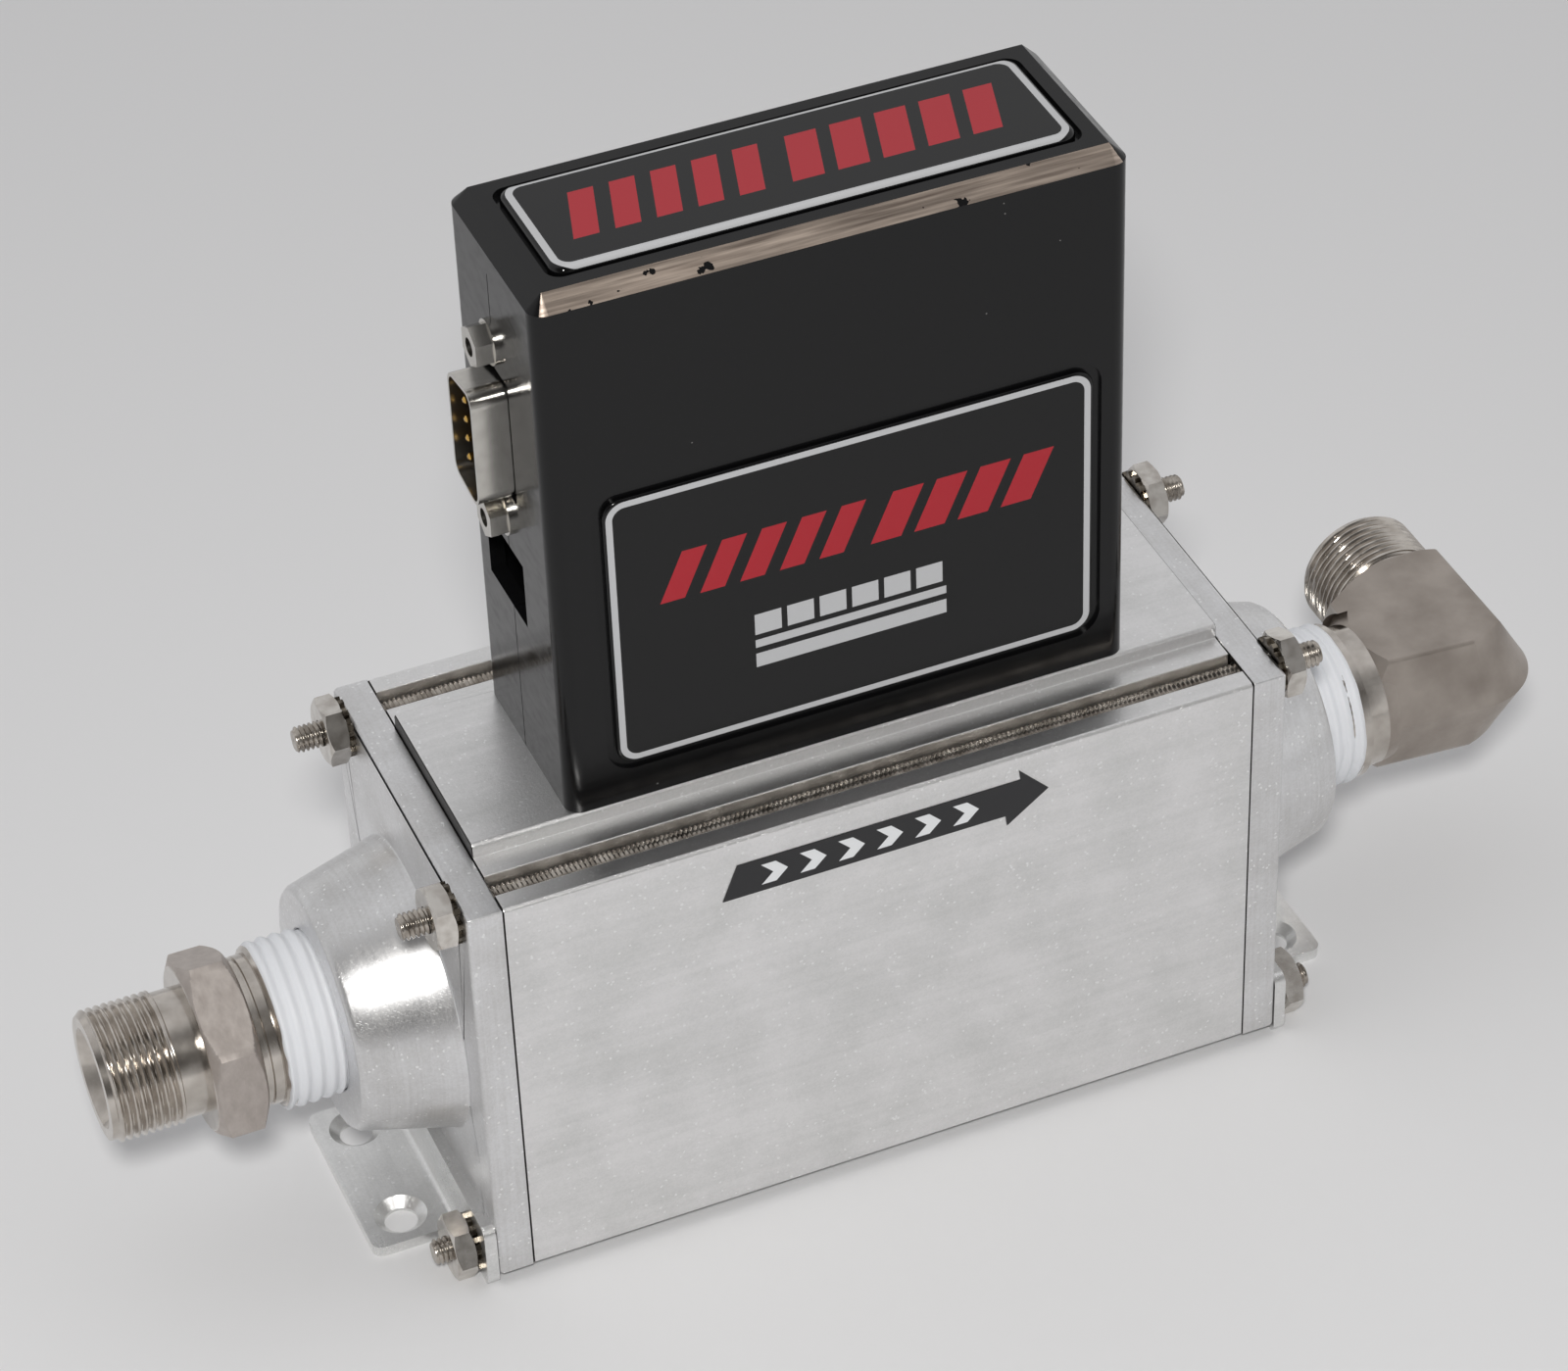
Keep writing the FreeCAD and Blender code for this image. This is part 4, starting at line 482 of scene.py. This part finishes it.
# The outlet elbow is a forging, blasted, with only its two ends turned. Its body is the CAD
# forging as it is; the arm beyond the shoulder gets a cut thread of the inlet's size.
def joined_elbow(slices=144):
    """The forging's own triangles, less those of the plain arm, and rings along the arm's profile:
    neck, thread, bevel, end face and flare. The last value is how many of the faces, from the
    first, are forged skin; the rest are turned."""
    arm_length = 0.0109
    arm_axis_x = 0.09336
    plain_arm_radius = 0.0090
    turned_until_x = 0.07988
    spots, triangles = merged_triangles("outlet_elbow")
    low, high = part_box("outlet_elbow")
    end = high.y
    shoulder = end - arm_length
    bore_z = (low.z + high.z) / 2
    reach = spots[:, 1][triangles]
    wide = np.hypot(spots[:, 0] - arm_axis_x, spots[:, 2] - bore_z)[triangles].max(axis=1)
    arm = ((reach.min(axis=1) > shoulder - 0.00005) & (reach.max(axis=1) > shoulder + 0.0005)
           & (wide < plain_arm_radius))
    kept = triangles[~arm]
    turned = spots[:, 0][kept].max(axis=1) < turned_until_x
    kept = np.concatenate([kept[~turned], kept[turned]])
    thread_length = 0.0085
    neck = tube_bevel + thread_length
    profile = [(0.0110, tube_neck_radius, 0), (neck + 0.0002, tube_neck_radius, 0),
               (neck, tube_runout_radius, 0)]
    profile += [(x, tube_thread_radius, 1) for x in np.linspace(neck, tube_bevel, 90)]
    profile += [(0.0, tube_end_radius, 0), (0.0, flare_radius, 0), (flare_depth, socket_radius, 0)]
    along, radius, kind = (np.array(column)[:, None] for column in zip(*profile))
    angle = np.linspace(0, 2 * np.pi, slices, endpoint=False)[None, :]
    radius = radius - np.where(kind == 1, thread_cut(along, angle, neck), 0)
    rings = np.stack([arm_axis_x + radius * np.sin(angle), end - along + 0 * angle,
                      bore_z + radius * np.cos(angle)], axis=-1).reshape(-1, 3)
    quads = ring_faces(len(profile), slices)[:-slices, ::-1] + len(spots)
    return np.concatenate([spots, rings]), kept.tolist() + quads.tolist(), int((~turned).sum())


# forged stainless steel: a duller, finely pitted warm grey
forged, tree, shader, place = new_material("forged_stainless_steel", Metallic=1.0)
pits = add_node(tree, "ShaderNodeTexNoise", {"Vector": place, "Scale": 1800.0, "Detail": 3.0})
smudge = add_node(tree, "ShaderNodeTexNoise", {"Vector": place, "Scale": 160.0, "Detail": 3.0})
ramp = add_node(tree, "ShaderNodeValToRGB", {0: smudge.outputs[0]})
ramp.color_ramp.elements[0].position = 0.3
ramp.color_ramp.elements[0].color = linear("#9d948c")
ramp.color_ramp.elements[1].position = 0.7
ramp.color_ramp.elements[1].color = linear("#b5aca4")
tree.links.new(ramp.outputs[0], shader.inputs["Base Color"])
gloss = add_node(tree, "ShaderNodeMapRange", {"Value": pits.outputs[0], "To Min": 0.34,
                                              "To Max": 0.5})
tree.links.new(gloss.outputs[0], shader.inputs["Roughness"])
relief = add_node(tree, "ShaderNodeBump", {"Height": pits.outputs[0], "Strength": 0.25,
                                           "Distance": 0.00006})
tree.links.new(relief.outputs[0], shader.inputs["Normal"])
spots, faces, forged_count = joined_elbow()
elbow_mesh = bpy.data.meshes.new("forged_elbow")
elbow_mesh.from_pydata(spots.tolist(), [], faces)
elbow_mesh.polygons.foreach_set("use_smooth", np.ones(len(faces), bool))
elbow_mesh.materials.append(forged)
elbow_mesh.materials.append(fitting_steel)
elbow_mesh.polygons.foreach_set("material_index",
                                (np.arange(len(faces)) >= forged_count).astype(int))
elbow_mesh.update()
elbow = bpy.data.objects.new("forged_elbow", elbow_mesh)
bpy.context.scene.collection.objects.link(elbow)
edges = elbow.modifiers.new("crisp_edges", "EDGE_SPLIT")
edges.split_angle = math.radians(22)
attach(elbow, "root")
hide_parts("outlet_elbow")


# White tape is wound over each taper thread and pressed into it, so that the thread's turns show
# through as soft ridges with a ragged edge.
pipe_pitch = 0.00181
tape_reach = 0.0007
tape_inside = 0.01050
tape_tip = 0.01052
tape_sunk = 0.01056
tape_proud = 0.01060
ridge_height = 0.00042


def wound_tape(node, sign, slices=192, rings=130):
    """A sleeve round the shank: its outer radius is a helical wave of the thread's pitch, with
    layers that step by a few hundredths and wander with the angle, its inner radius plain. The
    wander and the ragged edge are sums of sines round the sleeve with drawn phases."""
    low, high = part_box(node)
    bore_z = (low.z + high.z) / 2
    inner_x, outer_x = (high.x, low.x) if sign < 0 else (low.x, high.x)
    outer_x = outer_x + sign * tape_reach
    share = np.linspace(0, 1, rings)[:, None]
    angle = np.linspace(0, 2 * np.pi, slices, endpoint=False)[None, :]
    draw = np.random.default_rng(5 if sign < 0 else 9)
    waves = np.arange(1, 24)[:, None]
    phases = draw.uniform(0, 2 * np.pi, (3, 23, 1))
    ragged, wander, pull = (np.sin(waves * angle[0] + phases) / waves ** 0.7).sum(axis=1) / 3
    along = inner_x + (outer_x - inner_x) * share + sign * (0.00028 * ragged - 0.0003) * share ** 6
    out = np.abs(along - inner_x)
    turns = out / pipe_pitch - sign * angle / (2 * np.pi) + 0.06 * pull
    ridge = (0.5 + 0.5 * np.cos(2 * np.pi * turns)) ** 0.8
    strip = (out / 0.0052 - sign * angle / np.pi + 0.1 * wander) % 1
    layer = 0.00007 * strip + 0.00004 * wander * (1 - ridge)
    outside = np.clip((out - 0.0040) / 0.0005, 0, 1)
    proud = tape_proud + ridge_height * ridge + layer
    sunk = tape_sunk + 0 * angle
    radius = sunk + (proud - sunk) * outside
    tip = np.clip((1 - share) / 0.025, 0, 1) ** 0.5
    radius = tape_tip + (radius - tape_tip) * tip
    skin = np.full((rings, slices), tape_inside) - 0.0001 * (1 - outside)
    radii = np.concatenate([radius, skin[::-1]])
    places = np.concatenate([along, along[::-1]])
    points = np.stack([places, radii * np.sin(angle), bore_z + radii * np.cos(angle)],
                      axis=-1).reshape(-1, 3)
    faces = ring_faces(2 * rings, slices)
    return points, faces if sign < 0 else faces[:, ::-1]


# sealing tape: soft white film, matt with a slight glow through its layers
tape, tree, shader, place = new_material("wound_white_tape", Roughness=0.5,
                                         Subsurface_Weight=0.2)
shader.inputs["Base Color"].default_value = linear("#e6e8ec")
shader.inputs["Specular IOR Level"].default_value = 0.3
shader.inputs["Subsurface Radius"].default_value = (0.001, 0.001, 0.001)
shader.inputs["Subsurface Scale"].default_value = 0.4
wrinkles = add_node(tree, "ShaderNodeMapping", {"Vector": place, "Scale": (2200, 260, 260)})
film = add_node(tree, "ShaderNodeTexNoise", {"Vector": wrinkles.outputs[0], "Scale": 1.0,
                                             "Detail": 5.0})
relief = add_node(tree, "ShaderNodeBump", {"Height": film.outputs[0], "Strength": 0.6,
                                           "Distance": 0.00014})
tree.links.new(relief.outputs[0], shader.inputs["Normal"])
for end, sign in (("inlet", -1), ("outlet", 1)):
    wrap = solid_from_grid(f"{end}_wound_tape", *wound_tape(f"{end}_tape_wrap", sign))
    wrap.data.materials.append(tape)
    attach(wrap, "root")
    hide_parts(f"{end}_tape_wrap")

# Inside the bore: a laminar flow element, two spacer tubes and a screen; on the platform: the
# sensor's base, tube and cover. They are machined or drawn from stainless steel.
# machined stainless steel inside: plain satin
inner_steel, tree, shader, place = new_material("machined_inner_steel", Metallic=1.0)
cut_marks = add_node(tree, "ShaderNodeTexNoise", {"Vector": place, "Scale": 900.0,
                                                  "Detail": 2.0})
ramp = add_node(tree, "ShaderNodeValToRGB", {0: cut_marks.outputs[0]})
ramp.color_ramp.elements[0].color = linear("#a7a39d")
ramp.color_ramp.elements[1].color = linear("#c4c0ba")
tree.links.new(ramp.outputs[0], shader.inputs["Base Color"])
shader.inputs["Roughness"].default_value = 0.3
for node in ("laminar_flow_element", "inlet_spacer", "outlet_spacer", "inlet_screen",
             "sensor_base", "sensor_tube"):
    dress(node, inner_steel)
# enamelled copper wire, close wound: red-brown, with painted shade and highlight in fine dark and
# light bands across the turns
copper, tree, shader, place = new_material("wound_enamelled_copper", Metallic=1.0,
                                           Roughness=0.3)
painted_turn_shading = add_node(tree, "ShaderNodeTexWave", {"Vector": place, "Scale": 1500.0})
ramp = add_node(tree, "ShaderNodeValToRGB", {0: painted_turn_shading.outputs[1]})
ramp.color_ramp.elements[0].color = linear("#7a3f22")
ramp.color_ramp.elements[1].color = linear("#c77a4b")
tree.links.new(ramp.outputs[0], shader.inputs["Base Color"])
dress("sensor_windings", copper)

# The housing: two halves and a cap, moulded and sprayed black. It carries fine scratches and
# dust; on the cap's front bevel the reflection of the light is painted in as a pale, streaked metal
# strip.
def sprayed_black(name):
    """Near-black paint with specks of pale dust 0.15 mm across, one in each third cell of 2.4 mm,
    and scuffs that only change its gloss. Returned with the colour before it reaches the shader."""
    material, tree, shader, place = new_material(name)
    shader.inputs["Specular IOR Level"].default_value = 0.27
    scuff_map = add_node(tree, "ShaderNodeMapping", {"Vector": place, "Scale": (60, 400, 900),
                                                     "Rotation": (0.0, 0.5, 0.0)})
    scuffs = add_node(tree, "ShaderNodeTexNoise", {"Vector": scuff_map.outputs[0], "Scale": 1.0,
                                                   "Detail": 5.0})
    dust = add_node(tree, "ShaderNodeTexVoronoi", {"Vector": place, "Scale": 420.0})
    chance = add_node(tree, "ShaderNodeSeparateColor", {0: dust.outputs["Color"]})
    size = add_node(tree, "ShaderNodeMapRange", {"Value": chance.outputs[0], "From Min": 0.62,
                                                 "To Min": 0.0, "To Max": 0.05})
    speck = add_node(tree, "ShaderNodeMath", {0: dust.outputs["Distance"], 1: size.outputs[0]},
                     operation="LESS_THAN")
    dusty = add_node(tree, "ShaderNodeMix", {"Factor": speck.outputs[0]}, data_type="RGBA")
    dusty.inputs["A"].default_value = linear("#0f0f10")
    dusty.inputs["B"].default_value = linear("#6d6c6a")
    gloss = add_node(tree, "ShaderNodeMapRange", {"Value": scuffs.outputs[0], "From Min": 0.35,
                                                  "From Max": 0.7, "To Min": 0.13,
                                                  "To Max": 0.26})
    return material, tree, shader, place, dusty.outputs["Result"], gloss.outputs[0]


# sprayed black, half gloss: dark, soft mirror of the paper
black, tree, shader, place, dusty, gloss = sprayed_black("sprayed_black_housing")
tree.links.new(dusty, shader.inputs["Base Color"])
tree.links.new(gloss, shader.inputs["Roughness"])
for node in ("case_front_half", "case_rear_half"):
    dress(node, black)
# the same spray on the cap, with a painted reflection on the front bevel: a pale metal strip,
# streaked along its length, with a ragged edge
black_with_painted_reflection, tree, shader, place, dusty, gloss = sprayed_black("sprayed_black_painted_bevel_reflection")
# painted reflection: faces leaning front and up, toward the lamp, get a pale streaked metal in
# place of the black paint
facing = add_node(tree, "ShaderNodeTexCoord").outputs["Normal"]
lean = add_node(tree, "ShaderNodeVectorMath", {0: facing, 1: (0.0, -0.7071, 0.7071)},
                operation="DOT_PRODUCT").outputs["Value"]
reflection_edge_noise = add_node(tree, "ShaderNodeTexNoise", {"Vector": place, "Scale": 330.0, "Detail": 4.0})
limit = add_node(tree, "ShaderNodeMapRange", {"Value": reflection_edge_noise.outputs[0], "From Min": 0.3,
                                              "From Max": 0.34, "To Min": 1.2, "To Max": 0.93})
painted_reflection_mask = add_node(tree, "ShaderNodeMath", {0: lean, 1: limit.outputs[0]}, operation="GREATER_THAN")
combed = add_node(tree, "ShaderNodeMapping", {"Vector": place, "Scale": (90, 2600, 2600)})
reflection_streaks = add_node(tree, "ShaderNodeTexNoise", {"Vector": combed.outputs[0], "Scale": 1.0,
                                                "Detail": 4.0})
ramp = add_node(tree, "ShaderNodeValToRGB", {0: reflection_streaks.outputs[0]})
ramp.color_ramp.elements[0].position = 0.3
ramp.color_ramp.elements[0].color = linear("#8f8177")
ramp.color_ramp.elements[1].position = 0.66
ramp.color_ramp.elements[1].color = linear("#d2c2b4")
skin = add_node(tree, "ShaderNodeMix", {"Factor": painted_reflection_mask.outputs[0], "A": dusty,
                                        "B": ramp.outputs[0]}, data_type="RGBA")
tree.links.new(skin.outputs["Result"], shader.inputs["Base Color"])
tree.links.new(painted_reflection_mask.outputs[0], shader.inputs["Metallic"])
rough = add_node(tree, "ShaderNodeMath", {0: painted_reflection_mask.outputs[0], 1: 0.16, 2: gloss},
                 operation="MULTIPLY_ADD")
tree.links.new(rough.outputs[0], shader.inputs["Roughness"])
dress("top_cap", black_with_painted_reflection)


# The labels are printed film under clear resin: black with a silver line round the edge, a row of
# slanted red bars and a few silver bars. A row of bars is given by its left, right, low and high
# edge, its slant, its period and the share of the period that is printed.
def framed_print(tree, flat, half, corner, line, bars, silver_bars):
    """Colour of a label from coordinates about its middle. The border is where the distance to a
    rounded rectangle is within half a line's width. A bar is where x less the slant times y
    falls in the first part of its period, inside its own box."""
    size = add_node(tree, "ShaderNodeVectorMath", {0: flat}, operation="ABSOLUTE").outputs[0]
    past = add_node(tree, "ShaderNodeVectorMath",
                    {0: size, 1: (half[0] - corner, half[1] - corner, 0)},
                    operation="SUBTRACT").outputs[0]
    out = add_node(tree, "ShaderNodeVectorMath", {0: past, 1: (0, 0, 0)},
                   operation="MAXIMUM").outputs[0]
    far = add_node(tree, "ShaderNodeVectorMath", {0: out}, operation="LENGTH").outputs["Value"]
    xy = add_node(tree, "ShaderNodeSeparateXYZ", {0: past})
    near = add_node(tree, "ShaderNodeMath", {0: xy.outputs[0], 1: xy.outputs[1]},
                    operation="MAXIMUM").outputs[0]
    near = add_node(tree, "ShaderNodeMath", {0: near, 1: 0.0}, operation="MINIMUM").outputs[0]
    gap = add_node(tree, "ShaderNodeMath", {0: far, 1: near}, operation="ADD").outputs[0]
    border = add_node(tree, "ShaderNodeMath", {0: gap, 1: corner - line / 2, 2: line / 2},
                      operation="COMPARE").outputs[0]
    masks = []
    xy = add_node(tree, "ShaderNodeSeparateXYZ", {0: flat})
    for left, right, low, high, slant, period, duty in bars + silver_bars:
        lean = add_node(tree, "ShaderNodeMath", {0: xy.outputs[1], 1: -slant, 2: xy.outputs[0]},
                        operation="MULTIPLY_ADD").outputs[0]
        wave = add_node(tree, "ShaderNodeMath", {0: lean, 1: 1 / period, 2: -left / period},
                        operation="MULTIPLY_ADD").outputs[0]
        wave = add_node(tree, "ShaderNodeMath", {0: wave}, operation="FRACT").outputs[0]
        on = add_node(tree, "ShaderNodeMath", {0: wave, 1: duty}, operation="LESS_THAN").outputs[0]
        wide = add_node(tree, "ShaderNodeMath",
                        {0: lean, 1: (left + right) / 2, 2: (right - left) / 2},
                        operation="COMPARE").outputs[0]
        tall = add_node(tree, "ShaderNodeMath",
                        {0: xy.outputs[1], 1: (low + high) / 2, 2: (high - low) / 2},
                        operation="COMPARE").outputs[0]
        here = add_node(tree, "ShaderNodeMath", {0: on, 1: wide}, operation="MULTIPLY").outputs[0]
        masks.append(add_node(tree, "ShaderNodeMath", {0: here, 1: tall},
                              operation="MULTIPLY").outputs[0])
    red, silver = masks[0], border
    for mask in masks[1:len(bars)]:
        red = add_node(tree, "ShaderNodeMath", {0: red, 1: mask}, operation="MAXIMUM").outputs[0]
    for mask in masks[len(bars):]:
        silver = add_node(tree, "ShaderNodeMath", {0: silver, 1: mask},
                          operation="MAXIMUM").outputs[0]
    ground = add_node(tree, "ShaderNodeMix", {"Factor": red}, data_type="RGBA")
    ground.inputs["A"].default_value = linear("#0b0b0c")
    ground.inputs["B"].default_value = linear("#a81f2b")
    printed = add_node(tree, "ShaderNodeMix", {"Factor": silver, "A": ground.outputs["Result"]},
                       data_type="RGBA")
    printed.inputs["B"].default_value = linear("#bcbdbf")
    return printed.outputs["Result"]


# printed film under resin: deep black, the print a little below a very smooth surface
front_film, tree, shader, place = new_material("front_film_under_resin", Roughness=0.14)
shader.inputs["Specular IOR Level"].default_value = 0.32
centred = add_node(tree, "ShaderNodeMapping", {"Vector": place, "Location": (-0.0009, 0, -0.0900)})
xyz = add_node(tree, "ShaderNodeSeparateXYZ", {0: centred.outputs[0]})
flat = add_node(tree, "ShaderNodeCombineXYZ", {0: xyz.outputs["X"], 1: xyz.outputs["Z"]})
colour = framed_print(
    tree, flat.outputs[0], (0.0317, 0.0196), 0.0025, 0.00085,
    [(-0.0268, -0.0010, 0.0030, 0.0100, 0.45, 0.0052, 0.62),
     (0.0008, 0.0235, 0.0030, 0.0100, 0.45, 0.0058, 0.70)],
    [(-0.0134, 0.0121, -0.0058, -0.0027, 0.0, 0.0043, 0.82),
     (-0.0134, 0.0121, -0.0078, -0.0066, 0.0, 0.0255, 1.1),
     (-0.0134, 0.0121, -0.0108, -0.0087, 0.0, 0.0255, 1.1)])
tree.links.new(colour, shader.inputs["Base Color"])
dress("front_label", front_film)
top_film, tree, shader, place = new_material("top_film_under_resin", Roughness=0.08)
shader.inputs["Specular IOR Level"].default_value = 0.4
xyz = add_node(tree, "ShaderNodeSeparateXYZ", {0: place})
flat = add_node(tree, "ShaderNodeCombineXYZ", {0: xyz.outputs["X"], 1: xyz.outputs["Y"]})
colour = framed_print(
    tree, flat.outputs[0], (0.0328, 0.0095), 0.0024, 0.0009,
    [(-0.0275, -0.0020, -0.0044, 0.0050, 0.3, 0.0052, 0.62),
     (0.0000, 0.0270, -0.0044, 0.0050, 0.3, 0.0058, 0.70)], [])
tree.links.new(colour, shader.inputs["Base Color"])
dress("top_label", top_film)

# The flow arrow is cut from thin black film and stuck to the block; a row of pale chevrons printed
# along its shaft points downstream.
arrow_z = 0.0555
chevron_period = 0.0052
chevron_share = 0.38
chevron_half_height = 0.0016
chevrons_x, chevrons_half_length = -0.002, 0.0155
arrow_film, tree, shader, place = new_material("printed_black_film", Roughness=0.35)
xyz = add_node(tree, "ShaderNodeSeparateXYZ", {0: place})
rise = add_node(tree, "ShaderNodeMath", {0: xyz.outputs["Z"], 1: arrow_z},
                operation="SUBTRACT").outputs[0]
rise = add_node(tree, "ShaderNodeMath", {0: rise}, operation="ABSOLUTE").outputs[0]
point = add_node(tree, "ShaderNodeMath", {0: xyz.outputs["X"], 1: rise}, operation="ADD").outputs[0]
wave = add_node(tree, "ShaderNodeMath", {0: point, 1: 1 / chevron_period},
                operation="MULTIPLY").outputs[0]
wave = add_node(tree, "ShaderNodeMath", {0: wave}, operation="FRACT").outputs[0]
stripe = add_node(tree, "ShaderNodeMath", {0: wave, 1: chevron_share},
                  operation="LESS_THAN").outputs[0]
level = add_node(tree, "ShaderNodeMath", {0: rise, 1: chevron_half_height},
                 operation="LESS_THAN").outputs[0]
reach = add_node(tree, "ShaderNodeMath",
                 {0: xyz.outputs["X"], 1: chevrons_x, 2: chevrons_half_length},
                 operation="COMPARE").outputs[0]
mark = add_node(tree, "ShaderNodeMath", {0: stripe, 1: level}, operation="MULTIPLY").outputs[0]
mark = add_node(tree, "ShaderNodeMath", {0: mark, 1: reach}, operation="MULTIPLY").outputs[0]
printed = add_node(tree, "ShaderNodeMix", {"Factor": mark}, data_type="RGBA")
printed.inputs["A"].default_value = linear("#17171a")
printed.inputs["B"].default_value = linear("#e2e4e6")
tree.links.new(printed.outputs["Result"], shader.inputs["Base Color"])
dress("flow_arrow_decal", arrow_film)

# The nine-way plug: a shell drawn from tinned steel, a moulded block, gold-plated pins and two
# hexagon jack screws.
# tin plate: bright and slightly milky
tin, tree, shader, place = new_material("drawn_tin_plate", Metallic=1.0, Roughness=0.2)
flow = add_node(tree, "ShaderNodeTexNoise", {"Vector": place, "Scale": 600.0, "Detail": 2.0})
ramp = add_node(tree, "ShaderNodeValToRGB", {0: flow.outputs[0]})
ramp.color_ramp.elements[0].color = linear("#b5b2ac")
ramp.color_ramp.elements[1].color = linear("#d6d3cd")
tree.links.new(ramp.outputs[0], shader.inputs["Base Color"])
for node in ("connector_shell", "connector_jackscrews", "sensor_cover"):
    dress(node, tin)
# gold plate over brass pins
gold, tree, shader, place = new_material("gold_plated_pins", Metallic=1.0, Roughness=0.18)
shade = add_node(tree, "ShaderNodeTexNoise", {"Vector": place, "Scale": 1200.0})
ramp = add_node(tree, "ShaderNodeValToRGB", {0: shade.outputs[0]})
ramp.color_ramp.elements[0].color = linear("#b98a3c")
ramp.color_ramp.elements[1].color = linear("#e6c271")
tree.links.new(ramp.outputs[0], shader.inputs["Base Color"])
dress("connector_pins", gold)
# glass-filled thermoplastic block: matt black
moulding, tree, shader, place = new_material("moulded_black_insulator", Roughness=0.5)
fibre = add_node(tree, "ShaderNodeTexNoise", {"Vector": place, "Scale": 1500.0, "Detail": 3.0})
ramp = add_node(tree, "ShaderNodeValToRGB", {0: fibre.outputs[0]})
ramp.color_ramp.elements[0].color = linear("#121212")
ramp.color_ramp.elements[1].color = linear("#222222")
tree.links.new(ramp.outputs[0], shader.inputs["Base Color"])
dress("connector_insulator", moulding)

# The circuit board stands in the seam; two blue trimmers face the right-hand wall.
# glass-fibre board under green solder mask
board, tree, shader, place = new_material("green_masked_board", Roughness=0.3)
weave = add_node(tree, "ShaderNodeTexNoise", {"Vector": place, "Scale": 800.0, "Detail": 2.0})
ramp = add_node(tree, "ShaderNodeValToRGB", {0: weave.outputs[0]})
ramp.color_ramp.elements[0].color = linear("#0f4a2a")
ramp.color_ramp.elements[1].color = linear("#1d6b40")
tree.links.new(ramp.outputs[0], shader.inputs["Base Color"])
dress("circuit_board", board)
# moulded blue trimmer bodies
trimmer, tree, shader, place = new_material("moulded_blue_trimmer", Roughness=0.4)
grain = add_node(tree, "ShaderNodeTexNoise", {"Vector": place, "Scale": 1500.0, "Detail": 2.0})
ramp = add_node(tree, "ShaderNodeValToRGB", {0: grain.outputs[0]})
ramp.color_ramp.elements[0].color = linear("#153d8a")
ramp.color_ramp.elements[1].color = linear("#1f52a8")
tree.links.new(ramp.outputs[0], shader.inputs["Base Color"])
for node in ("zero_trimmer", "span_trimmer"):
    dress(node, trimmer)
